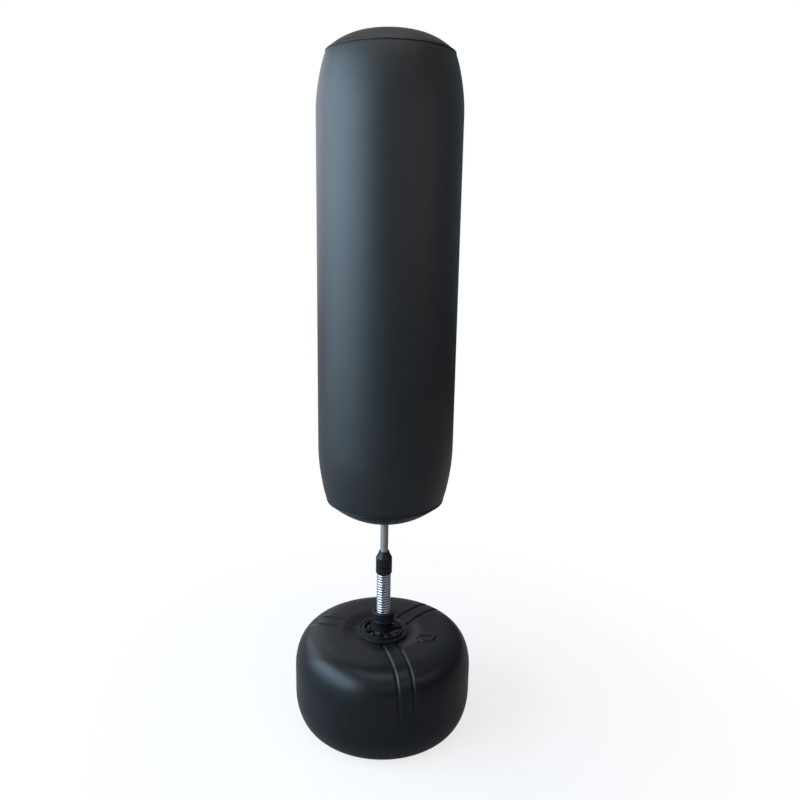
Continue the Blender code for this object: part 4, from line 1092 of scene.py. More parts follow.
@dataclass
class SocketFlange:
    """The flange with its raised ring, ribs and hub, its six bolts and the anchor bolt."""

    radius: float = 0.0635
    low: float = 0.2313
    top: float = 0.2355
    lip: float = 0.2377
    lip_slope: Steps = ((-0.0022, 0.0), (0.0, -0.0004))
    lip_start: float = 0.0035
    ring: float = 0.0520
    ring_width: float = 0.0035
    ring_top: float = 0.2417
    ring_slope: float = 0.0003
    foot: float = 0.0245
    stem: float = 0.0225
    stem_foot: Steps = ((0.0, 0.0050), (0.0006, 0.0018))
    stem_head: Steps = ((0.0006, 0.0), (0.0, -0.0020))
    collar: float = 0.0285
    collar_low: float = 0.2650
    collar_rim: Steps = ((-0.0012, 0.0), (0.0, -0.0012), (0.0, -0.0040), (-0.0006, -0.0046))
    collar_foot: Steps = ((-0.0006, 0.0046), (0.0, 0.0040), (0.0, 0.0))
    taper: float = 0.0060
    hub_top: float = 0.2920
    cup: float = 0.0184
    cup_floor: float = 0.2465
    cup_rim: Steps = ((0.0, -0.0010), (0.0010, 0.0))
    anchor_head: float = 0.0105
    anchor_hole: float = 0.0054
    head_room: float = 0.2393
    edge: float = 0.0005
    rib_width: float = 0.0036
    rib_sunk: float = 0.001
    rib_drop: float = 0.0014
    rib_edge: float = 0.0006
    count: int = 6
    phase_deg: float = -75.0
    bolt_circle: float = 0.0365
    bolt_head: float = 0.0050
    bolt_face: float = 0.86
    bolt_drop: float = 0.0009
    bolt_edge: float = 0.0003
    bolt_height: float = 0.0040
    bolt_shaft: float = 0.0030
    bolt_play: float = 0.0004
    bolt_seat: float = 0.0003
    bolt_reach: float = 0.0145
    bolt_turn: float = 1.7
    socket: tuple[float, float, float] = (0.0025, 0.0024, 0.001)
    cut_past: float = 0.002

    def hub(self) -> Shape:
        """Makes the flange and the hub, with the cup for the spring and the room for its bolt."""
        inner = self.ring - self.ring_width
        outline = (
            corner(self.collar, self.hub_top, self.collar_rim)
            + corner(self.collar, self.collar_low, self.collar_foot)
            + corner(self.stem, self.collar_low - self.taper, self.stem_head)
            + corner(self.stem, self.top, self.stem_foot)
            + [(self.foot, self.top), (inner, self.top), (inner + self.ring_slope, self.ring_top),
               (self.ring - self.ring_slope, self.ring_top), (self.ring, self.top),
               (self.radius - self.lip_start, self.top)]
            + corner(self.radius, self.lip, self.lip_slope)
            + [(self.radius, self.low), (self.anchor_head, self.low), (self.anchor_head, self.head_room),
               (self.anchor_hole, self.head_room), (self.anchor_hole, self.cup_floor),
               (self.cup, self.cup_floor)]
            + corner(self.cup, self.hub_top, self.cup_rim))
        return SHOP.turned(outline, 120, self.edge)

    def ribs(self) -> Shape:
        """Makes the ribs that run from the stem to the raised ring, between the bolts."""
        start = (self.cup + self.stem) / 2
        reach = self.ring - self.ring_width + self.ring_width / 2 - start
        low, high = self.top - self.rib_sunk, self.ring_top - self.rib_drop
        size, centre = (reach, self.rib_width, high - low), (start + reach / 2, 0.0, (low + high) / 2)
        bm = bmesh.new()
        for angle in around(self.count, self.phase_deg + 180.0 / self.count):
            SHOP.block(bm, size, centre, angle)
        SHOP.soften(bm, self.rib_edge, 3)
        return bm

    def build(self) -> None:
        """Makes the flange and its bolts."""
        angles = around(self.count, self.phase_deg)
        low, high = self.low - self.cut_past, self.top + self.cut_past
        holes = SHOP.drums(self.bolt_shaft + self.bolt_play, low, high, 24,
                           [on_circle(self.bolt_circle, angle) for angle in angles])
        bm = SHOP.joined(SHOP.joined(self.hub(), self.ribs()), holes, Join.CUT)
        SHOP.finished("flange_and_hub", bm, Slot.HUB, "base", ["socket_flange"])
        for number, angle in enumerate(angles, 1):
            self.bolt(number, angle)
        SHOP.dress("anchor_bolt", Slot.STEEL)

    def bolt(self, number: int, angle: float) -> None:
        """Makes one socket-headed bolt.

        Args:
            number: which of the six it is.
            angle: where it stands round the hub, in radians.
        """
        seat = self.top + self.bolt_seat
        head = seat + self.bolt_height
        tip = head - self.bolt_height - self.bolt_reach
        radius, depth, past = self.socket
        bm = SHOP.turned([(0.0, head), (self.bolt_head * self.bolt_face, head),
                          (self.bolt_head, head - self.bolt_drop), (self.bolt_head, seat),
                          (self.bolt_shaft, seat), (self.bolt_shaft, tip), (0.0, tip)], 40, self.bolt_edge, 2)
        bm = SHOP.joined(bm, SHOP.drums(radius, head - depth, head + past, 6), Join.CUT)
        place = (Matrix.Translation((*on_circle(self.bolt_circle, angle), 0.0))
                 @ Matrix.Rotation(self.bolt_turn * number, 4, "Z"))
        SHOP.moved(bm, place)
        SHOP.finished(f"hub_bolt_{number}", bm, Slot.DARK, "base", [f"flange_bolt_{number}"])


@dataclass
class CoilSpring:
    """The spring, wound in two halves that meet between the hub and the top cup."""

    wire: float = 0.0031
    radius: float = 0.0149
    foot: float = 0.2468
    head: float = 0.4102
    pitch: float = 0.00685
    lift: float = 1.02
    hub_top: float = SocketFlange.hub_top
    cup_low: float = 0.3965
    per_turn: int = 40
    sides: int = 16

    def half(self, name: str, first: float, last: float) -> Piece:
        """Winds part of the wire.

        Args:
            name: the piece's name.
            first: turns from the spring's foot where it starts.
            last: turns where it ends.

        Returns:
            The wound piece.
        """
        bm = bmesh.new()
        start = self.foot + self.wire * self.lift
        lean = math.atan(self.pitch / (2 * math.pi * self.radius))
        place = (Matrix.Rotation(2 * math.pi * first, 4, "Z")
                 @ Matrix.Translation((self.radius, 0.0, start + self.pitch * first))
                 @ Matrix.Rotation(lean, 4, "X") @ Matrix.Rotation(math.pi / 2, 4, "X"))
        disc = bmesh.ops.create_circle(bm, cap_ends=False, segments=self.sides, radius=self.wire,
                                       matrix=place)["verts"]
        edges = list({e for v in disc for e in v.link_edges})
        steps = round((last - first) * self.per_turn)
        bmesh.ops.spin(bm, geom=disc + edges, axis=(0, 0, 1), cent=(0, 0, 0), steps=steps,
                       angle=2 * math.pi * (last - first), dvec=(0, 0, self.pitch * (last - first) / steps))
        rims = [e for e in bm.edges if e.is_boundary]
        caps = bmesh.ops.holes_fill(bm, edges=rims)["faces"]
        bmesh.ops.recalc_face_normals(bm, faces=bm.faces)
        for edge in {e for f in caps for e in f.edges}:
            edge.smooth = False
        return SHOP.finished(name, bm, Slot.CHROME, weighted=False)

    def build(self) -> None:
        """Winds both halves in place of the model's spring, and dresses the lower plug."""
        turns = (self.head - self.foot - 2 * self.lift * self.wire) / self.pitch
        middle = (self.hub_top + self.cup_low) / 2
        half_way = (middle - self.foot - self.wire * self.lift) / self.pitch
        lower = self.half("coil_lower", 0.0, half_way)
        upper = self.half("coil_upper", half_way, turns)
        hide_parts("spring")
        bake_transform(lower)
        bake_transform(upper)
        SHOP.dress("spring_lower_plug", Slot.STEEL)


@dataclass
class Post:
    """The cup on the spring's top and the inner tube that the pole slides on."""

    cup_radius: float = 0.0205
    cup_low: float = CoilSpring.cup_low
    cup_ceiling: float = 0.4105
    cup_top: float = 0.4145
    cup_edge: float = 0.0007
    taper: Steps = ((0.0, 0.0026), (-0.0016, 0.0))
    bore: float = 0.0184
    hole: float = 0.0065
    tube: float = 0.0080
    tube_wall: float = 0.0015
    tube_low: float = 0.4148
    tube_top: float = 0.7198
    tube_edge: float = 0.0004

    def build(self) -> None:
        """Makes the cup and the tube, and dresses what they hide."""
        bm = SHOP.turned([(self.cup_radius, self.cup_top)] + corner(self.cup_radius, self.cup_low, self.taper)
                         + [(self.bore, self.cup_low), (self.bore, self.cup_ceiling),
                            (self.hole, self.cup_ceiling), (self.hole, self.cup_top)], 96, self.cup_edge)
        SHOP.finished("spring_cup", bm, Slot.HUB, "post", ["spring_top_cup"])
        bm = SHOP.tube(self.tube, self.tube - self.tube_wall, self.tube_low, self.tube_top, 64,
                       self.tube_edge)
        SHOP.finished("inner_tube", bm, Slot.STEEL, "post", ["inner_post_tube"])
        SHOP.dress("spring_top_plug", Slot.STEEL)
        SHOP.dress("inner_post_pin", Slot.STEEL)
        SHOP.dress("post_guide_bush", Slot.HUB)


@dataclass
class TwistLock:
    """The grip nut and the lock body that clamp the pole's height."""

    radius: float = 0.0205
    nut_low: float = 0.4160
    nut_top: float = 0.4375
    nut_floor: float = 0.0025
    nut_edge: float = 0.0007
    thread: float = 0.0165
    thread_play: float = 0.0004
    guide: float = 0.0084
    flute: float = 0.0016
    flute_depth: float = 0.0007
    flute_margin: float = 0.0026
    flutes: int = 24
    flute_phase_deg: float = 7.0
    body_low: float = 0.4215
    body_edge: float = 0.0006
    shoulder: float = 0.4378
    cone_foot: Steps = ((-0.0016, 0.0042), (0.0, 0.0012), (0.0, 0.0))
    cone_top: float = 0.4523
    top: float = 0.4558
    neck: float = 0.0136
    collet_mouth: float = 0.0130
    collet_seat: float = 0.0086
    collet_height: float = 0.0055
    bore: float = 0.0103
    bore_low: float = 0.007

    def build(self) -> None:
        """Makes the fluted nut and the body with its cone and neck."""
        floor, inner = self.nut_low + self.nut_floor, self.thread + self.thread_play
        nut = SHOP.turned([(self.radius, self.nut_top), (self.radius, self.nut_low),
                           (self.guide, self.nut_low), (self.guide, floor), (inner, floor),
                           (inner, self.nut_top)], 144, self.nut_edge)
        low, high = self.nut_low + self.flute_margin, self.nut_top - self.flute_margin
        places = [on_circle(self.radius + self.flute - self.flute_depth, angle)
                  for angle in around(self.flutes, self.flute_phase_deg)]
        nut = SHOP.joined(nut, SHOP.drums(self.flute, low, high, 14, places), Join.CUT)
        SHOP.finished("grip_nut", nut, Slot.HUB, "nut", ["lock_nut"])
        bm = SHOP.turned(
            [(self.neck, self.top), (self.neck, self.cone_top)]
            + corner(self.radius, self.shoulder, self.cone_foot)
            + [(self.thread, self.shoulder), (self.thread, self.body_low), (self.collet_mouth, self.body_low),
               (self.collet_seat, self.body_low + self.collet_height),
               (self.collet_seat, self.body_low + self.bore_low), (self.bore, self.body_low + self.bore_low),
               (self.bore, self.top)], 96, self.body_edge)
        SHOP.finished("lock_cone", bm, Slot.HUB, "pole", ["lock_body"])
        SHOP.dress("lock_collet", Slot.RUBBER)


@dataclass
class Pole:
    """The tube that carries the bag."""

    radius: float = 0.0100
    wall: float = 0.0013
    low: float = 0.4288
    top: float = 1.5675
    edge: float = 0.0004

    def build(self) -> None:
        """Makes the tube; the cap on its top stays the model's own."""
        bm = SHOP.tube(self.radius, self.radius - self.wall, self.low, self.top, 72, self.edge)
        SHOP.finished("pole_shaft", bm, Slot.STEEL, "pole", ["pole_tube"])
        SHOP.dress("pole_cap", Slot.RUBBER)


class Panel(Enum):
    """The cover's three panels, with the name of the piece and the CAD node of each."""

    TOP = ("bag_top", "cover_top")
    WALL = ("bag_wall", "cover_side")
    LOW = ("bag_low", "cover_bottom")


@dataclass
class InflatedBag:
    """Cover, seams and bladder of the blown-up bag."""

    radius: float = 0.1636
    low_seam: float = 0.6010
    low_seam_radius: float = 0.1432
    low_curve: float = 0.1400
    low_dome: float = 0.0554
    top_seam: float = 1.6200
    top_seam_radius: float = 0.1415
    top_curve: float = 0.1245
    top_dome: float = 0.0421
    mid_height: float = 1.0
    powers: tuple[float, float, float, float] = (2.18, 2.08, 2.47, 3.06)
    hole: float = 0.0128
    thickness: float = 0.0012
    bead: float = 0.0013
    bead_proud: float = -0.0002
    bead_sides: int = 14
    bead_wave: float = 0.0005
    bead_waves: float = 9.0
    bead_leans_deg: tuple[float, float] = (38.0, -30.0)
    steps: int = 104
    dome_rings: int = 20
    dome_spacing: float = 0.9
    top_rings: int = 20
    low_rings: int = 22
    curve_spacing: float = 1.5
    wall_rings: int = 52
    swell: float = 0.0025
    swell_reach: float = 0.035
    slack: float = 0.0003
    held_reach: float = 0.0015
    hole_rise: float = 0.002
    pressure: float = 400.0
    sheet_mass: float = 0.001
    stiffness: float = 30.0
    frames: int = 20
    tuck: float = 0.0009
    tuck_reach: float = 0.0026
    pucker: float = 0.0010
    pucker_reach: float = 0.018
    pucker_start: float = 0.003
    puckers: float = 8.5
    finer_puckers: float = 2.3
    pucker_rise: float = 0.25
    stitch_pull: float = 0.00035
    stitch_pull_reach: float = 0.0016
    stitch_pitch: float = 0.0042
    stitch_margin: float = 0.0052
    stitch_size: tuple[float, float, float] = (0.0016, 0.00042, 0.00036)
    stitch_rise: float = 0.35
    stitch_arch: float = 0.8
    row_end: float = 0.012
    row_gap: float = 0.004
    fold_half_width: float = 0.0035
    fold_lines: tuple[float, ...] = (-1.0, -0.6, -0.3, 0.0, 0.3, 0.6, 1.0)
    fold_depth: float = 0.0011
    fold_fade: float = 0.012
    zip_low: float = 0.7800
    zip_high: float = 1.1600
    zip_half_width: float = 0.0125
    bladder_gap: float = 0.0052
    bladder_end_gap: float = 0.2
    bladder_steps: int = 96
    sleeve: float = 0.0135
    sleeve_room: float = 0.006
    sleeve_round: float = 0.004
    sleeve_top: float = 1.5801

    def dome_low(self, r: float) -> float:
        """Height of the lower end at a radius."""
        return self.low_seam - self.low_dome * (1 - (r / self.low_seam_radius) ** self.powers[2])

    def slope_low(self, r: float) -> float:
        """Slope of the lower end at a radius."""
        power = self.powers[2]
        return self.low_dome * power / self.low_seam_radius * (r / self.low_seam_radius) ** (power - 1)

    def dome_top(self, r: float) -> float:
        """Height of the upper end at a radius."""
        return self.top_seam + self.top_dome * (1 - (r / self.top_seam_radius) ** self.powers[3])

    def curve_low(self, t: float) -> tuple[float, float]:
        """The wall above the lower seam: 0 at the seam, 1 at full radius."""
        grown = 1 - (1 - t) ** self.powers[0]
        return (self.low_seam_radius + (self.radius - self.low_seam_radius) * grown,
                self.low_seam + self.low_curve * t)

    def curve_top(self, t: float) -> tuple[float, float]:
        """The wall below the upper seam: 0 at full radius, 1 at the seam."""
        return (self.radius - (self.radius - self.top_seam_radius) * t ** self.powers[1],
                self.top_seam - self.top_curve * (1 - t))

    def skin(self) -> Outline:
        """The whole outer profile, from the top's middle to the pole's hole."""
        turns = [k / self.dome_rings * math.pi / 2 for k in range(self.dome_rings)]
        top = [self.top_seam_radius * math.sin(turn) ** self.dome_spacing for turn in turns]
        reach = self.low_seam_radius - self.hole
        low = [self.hole + reach * math.cos(turn) ** self.dome_spacing for turn in turns[1:]] + [self.hole]
        upper = [self.curve_top(1 - (k / self.top_rings) ** self.curve_spacing)
                 for k in range(self.top_rings + 1)]
        lower = [self.curve_low((1 - k / self.low_rings) ** self.curve_spacing)
                 for k in range(self.low_rings + 1)]
        straight = between(self.top_seam - self.top_curve, self.low_seam + self.low_curve, self.wall_rings)
        return ([(r, self.dome_top(r)) for r in top] + upper + [(self.radius, z) for z in straight] + lower
                + [(r, self.dome_low(r)) for r in low])

    def from_seams(self, point: Vector) -> float:
        """Distance of a point from the nearer end seam."""
        r = math.hypot(point.x, point.y)
        return min(math.hypot(r - self.top_seam_radius, point.z - self.top_seam),
                   math.hypot(r - self.low_seam_radius, point.z - self.low_seam))

    def from_zip(self, point: Vector) -> float:
        """Distance of a point of the wall from the strip that the zip holds.

        Args:
            point: the point.

        Returns:
            The distance; large at the front.
        """
        if point.y < 0:
            return self.radius
        beyond = max(0.0, self.zip_low - point.z, point.z - self.zip_high)
        return math.hypot(max(0.0, abs(point.x) - self.zip_half_width), beyond)

    def free(self, point: Vector) -> float:
        """Distance of a point of the cover from what holds it."""
        return min(self.from_seams(point), self.from_zip(point))

    def panel_of(self, point: Vector) -> Panel:
        """The panel that a point of the skin lies on."""
        if point.z > self.top_seam:
            return Panel.TOP
        return Panel.LOW if point.z < self.low_seam else Panel.WALL

    def blown_up(self) -> Shape:
        """Blows the cover up as cloth that its seams, pole hole and zip hold.

        It starts a little too small, so that the pressure stretches it to its size.

        Returns:
            The whole skin.
        """
        bm = SHOP.turned(self.skin(), self.steps, closed=False)
        marks = bm.faces.layers.int.new("panel")
        names = list(Panel)
        for face in bm.faces:
            face[marks] = names.index(self.panel_of(face.calc_center_median()))
        bm.normal_update()
        before = []
        for vert in bm.verts:
            shrink = 1 - math.exp(-(self.free(vert.co) / self.swell_reach) ** 2)
            vert.co -= vert.normal * (self.swell * shrink)
            before.append((vert.co.copy(), self.swell * shrink + self.slack * (1 - shrink)))
        hole_top = self.dome_low(self.hole) + self.hole_rise
        held = [vert.index for vert in bm.verts if self.free(vert.co) < self.held_reach
                or (vert.co.z < hole_top and vert.co.xy.length < self.hole * 1.3)]

        def cloth(obj: Piece) -> None:
            """Adds the cloth, with the held points pinned."""
            obj.vertex_groups.new(name="held").add(held, 1.0, "REPLACE")
            change = obj.modifiers.new("Cloth", "CLOTH")
            change.settings.quality = 5
            change.settings.mass = self.sheet_mass
            change.settings.vertex_group_mass = "held"
            change.settings.tension_stiffness = self.stiffness
            change.settings.compression_stiffness = self.stiffness
            change.settings.bending_stiffness = self.stiffness / 30
            change.settings.use_pressure = True
            change.settings.uniform_pressure_force = self.pressure
            change.settings.effector_weights.gravity = 0.0
            change.collision_settings.use_collision = False

        bm = SHOP.baked(bm, cloth, self.frames)
        for vert, (start, most) in zip(bm.verts, before):
            move = vert.co - start
            vert.co = start + move * min(1.0, most / max(move.length, 1e-9))
        return bm

    def gathered(self, vert: Vertex) -> Vector:
        """How far a point is tucked in at the end seams, puckered beside them and pulled by the stitches.

        Args:
            vert: the point.

        Returns:
            Its move.
        """
        away = self.from_seams(vert.co)
        if away > 4 * self.pucker_reach:
            return Vector()
        turn = math.atan2(vert.co.y, vert.co.x)
        seed = 3.0 * list(Panel).index(self.panel_of(vert.co))
        seed += 0.0 if vert.co.z > self.mid_height else 50.0
        x, y = math.cos(turn), math.sin(turn)
        fine = noise.noise(Vector((x * self.puckers, y * self.puckers, seed)))
        finer = noise.noise(Vector((x, y, seed)) * self.puckers * self.finer_puckers)
        gather = self.pucker * (fine + 0.5 * finer - self.pucker_rise) * math.exp(-away / self.pucker_reach)
        tucked = self.tuck * math.exp(-(away / self.tuck_reach) ** 2)
        pulled = self.stitch_pull * math.exp(-((away - self.stitch_margin) / self.stitch_pull_reach) ** 2)
        return vert.normal * (gather * (1 - math.exp(-(away / self.pucker_start) ** 2)) - tucked - pulled)

    def folded_at_back(self, bm: Shape) -> None:
        """Sinks the wall's upright back seam above and below the zip.

        Args:
            bm: the wall's mesh.
        """
        half = self.fold_half_width
        for line in self.fold_lines:
            near = [face for face, centre in ((f, f.calc_center_median()) for f in bm.faces)
                    if centre.y > 0.5 * self.radius and abs(centre.x) < 3 * half]
            SHOP.scored(bm, near, (half * line, 0, 0), (1, 0, 0))
        for vert in bm.verts:
            if vert.co.y > 0 and abs(vert.co.x) < half * 1.2:
                clear = max(eased(vert.co.z, self.zip_high, self.zip_high + self.fold_fade),
                            1 - eased(vert.co.z, self.zip_low - self.fold_fade, self.zip_low))
                vert.co.y -= self.fold_depth * clear * math.exp(-(vert.co.x / (0.4 * half)) ** 2)

    def sewn(self, name: str, places: list[tuple[Vector, Vector]], trees: list[BVHTree]) -> None:
        """Sets stitches on the cover.

        Args:
            name: the piece's name.
            places: a point near the cover and the thread's direction there, for each stitch.
            trees: the panels that they may lie on.
        """
        stitch = bmesh.new()
        bmesh.ops.create_uvsphere(stitch, u_segments=8, v_segments=6, radius=1.0)
        for vert in stitch.verts:
            vert.co.z += self.stitch_rise - self.stitch_arch * vert.co.x ** 2
        set_out = []
        for point, along in places:
            hits = [tree.find_nearest(point)[:2] for tree in trees]
            spot, normal = min(hits, key=lambda hit: (hit[0] - point).length)
            across = normal.cross(along).normalized()
            turn = Matrix((across.cross(normal), across, normal)).transposed().to_4x4()
            set_out.append(Matrix.Translation(spot) @ turn @ Matrix.Diagonal((*self.stitch_size, 1.0)))
        SHOP.finished(name, SHOP.strewn(stitch, set_out), Slot.TAPE, "bag", weighted=False, finish=THREAD)

    def ring_of(self, r: float, z: float) -> list[tuple[Vector, Vector]]:
        """Places of the stitches round the bag at a radius and a height."""
        count = round(2 * math.pi * r / self.stitch_pitch)
        return [(Vector((*on_circle(r, a), z)), Vector((-math.sin(a), math.cos(a), 0.0)))
                for a in around(count)]

    def upright_row(self, x: float, low: float, high: float) -> list[tuple[Vector, Vector]]:
        """Places of the stitches up the back of the bag."""
        count = int((high - low) / self.stitch_pitch)
        return [(Vector((x, self.radius, low + self.stitch_pitch * (k + 0.5))), Vector((0.0, 0.0, 1.0)))
                for k in range(count)]

    def piped(self, name: str, node: str, r: float, z: float, lean_deg: float) -> None:
        """Makes the bead of one end seam.

        Args:
            name: the piece's name.
            node: the CAD node that it replaces.
            r: the seam's radius.
            z: its height.
            lean_deg: angle of the outward direction above the level, in degrees.
        """
        lean = math.radians(lean_deg)
        r, z = r + self.bead_proud * math.cos(lean), z + self.bead_proud * math.sin(lean)
        rim = [(r + self.bead * math.cos(a), z + self.bead * math.sin(a)) for a in around(self.bead_sides)]
        bm = SHOP.turned(rim, 2 * self.steps)
        for vert in bm.verts:
            turn = math.atan2(vert.co.y, vert.co.x)
            wave = noise.noise(Vector((math.cos(turn), math.sin(turn), z)) * self.bead_waves)
            vert.co.z += self.bead_wave * wave
        SHOP.finished(name, bm, Slot.LEATHER, "bag", [node])

    def panels(self) -> dict[Panel, BVHTree]:
        """Makes the cover's three panels.

        Returns:
            The surface of each, for the stitches to lie on.
        """
        skin = self.blown_up()
        trees = {}
        for index, panel in enumerate(Panel):
            bm = skin.copy()
            marks = bm.faces.layers.int["panel"]
            bmesh.ops.delete(bm, geom=[f for f in bm.faces if f[marks] != index], context="FACES")
            bm = SHOP.baked(bm, SHOP.finer)
            if panel is Panel.WALL:
                self.folded_at_back(bm)
            SHOP.shifted(bm, self.gathered)
            trees[panel] = BVHTree.FromBMesh(bm)
            if panel is Panel.LOW:
                Valve(self).pierce(bm)
            name, node = panel.value
            piece = SHOP.finished(name, bm, Slot.LEATHER, "bag", [node], wall=self.thickness)
        skin.free()
        return trees

    def build(self) -> None:
        """Makes the cover's three panels, the seams and the bladder."""
        trees = self.panels()
        margin = self.stitch_margin
        for name, end, at_wall, r, dome in (
                ("top_seam_stitches", Panel.TOP, self.curve_top(1 - margin / self.top_curve),
                 self.top_seam_radius - margin, self.dome_top),
                ("low_seam_stitches", Panel.LOW, self.curve_low(margin / self.low_curve),
                 self.low_seam_radius - margin, self.dome_low)):
            stitches = self.ring_of(*at_wall) + self.ring_of(r, dome(r))
            self.sewn(name, stitches, [trees[end], trees[Panel.WALL]])
        rows = []
        for x in (-margin, margin):
            rows += self.upright_row(x, self.low_seam + self.row_end, self.zip_low - self.row_gap)
            rows += self.upright_row(x, self.zip_high + self.row_gap, self.top_seam - self.row_end)
        self.sewn("back_seam_stitches", rows, [trees[Panel.WALL]])
        top_lean, low_lean = self.bead_leans_deg
        self.piped("top_piping", "piping_top", self.top_seam_radius, self.top_seam, top_lean)
        self.piped("low_piping", "piping_bottom", self.low_seam_radius, self.low_seam, low_lean)
        self.bladder()

    def bladder(self) -> None:
        """Makes the air bladder and its sleeve for the pole."""
        gap = self.bladder_gap
        outline = [(0.0, self.top_seam + self.top_dome - gap)]
        for r, z in self.skin()[::2]:
            if r > self.sleeve + self.sleeve_room:
                inward = gap * (self.bladder_end_gap if z > self.top_seam or z < self.low_seam else 1.0)
                outline.append((max(0.0, r - inward), z - gap if z > self.mid_height else z + gap))
        mouth = self.dome_low(self.sleeve)
        outline += [(self.sleeve + self.sleeve_round, mouth + gap * 1.2),
                    (self.sleeve, mouth + self.sleeve_room),
                    (self.sleeve, self.sleeve_top - self.sleeve_round),
                    (self.sleeve - self.sleeve_round, self.sleeve_top), (0.0, self.sleeve_top)]
        bm = SHOP.turned(outline, self.bladder_steps)
        piece = SHOP.finished("air_bladder", bm, Slot.VINYL, "bag", ["bladder"])


@dataclass
class Valve:
    """The inflation valve under the bag, with its eyelet and stopper."""

    bag: InflatedBag
    out: float = 0.0750
    azimuth_deg: float = 60.0
    neck: float = 0.0066
    bore: float = 0.0034
    neck_end: float = 0.0038
    neck_edge: float = 0.0004
    inside: float = -0.0052
    flange: float = 0.0120
    flange_thickness: float = 0.0015
    cut_sides: int = 16
    cut_reach: float = 0.03
    eyelet_outer: float = 0.0105
    eyelet_inner: float = 0.0069
    eyelet_low: float = 0.0003
    eyelet_thickness: float = 0.0010
    play: float = 0.0003
    head: float = 0.0072
    head_height: float = 0.0028
    head_dish: Steps = ((0.0, -0.0006), (0.0036, -0.0003))
    head_rim: Steps = ((-0.0012, 0.0), (0.0, -0.0010))
    stem_barb: Steps = ((0.0, 0.0), (0.0, -0.0030), (-0.0005, -0.0036), (0.0, -0.0044))
    stem_length: float = 0.0075
    stopper_edge: float = 0.0003
    nib: float = 0.0005
    nibs: int = 18
    nib_ends: tuple[float, float] = (0.0004, -0.0006)

    def place(self) -> Matrix:
        """Turns +Z out of the bag at the valve's place on the cover."""
        angle = math.radians(self.azimuth_deg)
        tilt = math.atan(self.bag.slope_low(self.out))
        return (Matrix.Translation((*on_circle(self.out, angle), self.bag.dome_low(self.out)))
                @ Matrix.Rotation(angle, 4, "Z") @ Matrix.Rotation(math.pi - tilt, 4, "Y"))

    def pierce(self, bm: Shape) -> None:
        """Opens the lower panel round the neck.

        Args:
            bm: the panel's mesh.
        """
        place = self.place()
        centre, axis = place.translation, place.to_3x3()
        near = [f for f in bm.faces if (f.calc_center_median() - centre).length < self.cut_reach]
        for turn in around(self.cut_sides):
            out = axis @ Vector((math.cos(turn), math.sin(turn), 0.0))
            SHOP.scored(bm, near, centre + out * (self.neck + self.play), out, 1e-6)
            near = [f for f in bm.faces if (f.calc_center_median() - centre).length < self.cut_reach]
        inside = [f for f in near
                  if (axis.inverted() @ (f.calc_center_median() - centre)).xy.length < self.neck]
        bmesh.ops.delete(bm, geom=inside, context="FACES")

    def build(self) -> None:
        """Makes the neck, the eyelet and the stopper."""
        place = self.place()
        flange_low = self.inside - self.flange_thickness
        neck = SHOP.turned([(self.neck, self.neck_end), (self.neck, self.inside), (self.flange, self.inside),
                            (self.flange, flange_low), (self.bore, flange_low), (self.bore, self.neck_end)],
                           48, self.neck_edge, 2)
        SHOP.finished("valve_neck", SHOP.moved(neck, place), Slot.RUBBER, "bag", ["valve_body"])
        middle = (self.eyelet_inner + self.eyelet_outer) / 2
        half = (self.eyelet_outer - self.eyelet_inner) / 2
        rim = [(middle + half * math.cos(a), self.eyelet_low + self.eyelet_thickness * math.sin(a))
               for a in (math.pi * k / 10 for k in range(11))]
        ring = SHOP.moved(SHOP.turned(rim, 56), place)
        SHOP.finished("valve_ring", ring, Slot.DARK, "bag", ["valve_eyelet"])
        low = self.neck_end + self.play
        top, stem, tip = low + self.head_height, self.bore - self.play, low - self.stem_length
        plug = SHOP.turned(corner(0.0, top, self.head_dish) + corner(self.head, top, self.head_rim)
                           + [(self.head, low)] + corner(stem, low, self.stem_barb)
                           + [(stem - self.nib, tip), (0.0, tip)], 48, self.stopper_edge, 2)
        nibs = SHOP.drums(self.nib, low + self.nib_ends[0], top + self.nib_ends[1], 10,
                          [on_circle(self.head + self.play, angle) for angle in around(self.nibs)])
        plug = SHOP.joined(plug, nibs, Join.CUT)
        SHOP.finished("valve_plug", SHOP.moved(plug, place), Slot.RUBBER, "stopper", ["valve_stopper"])


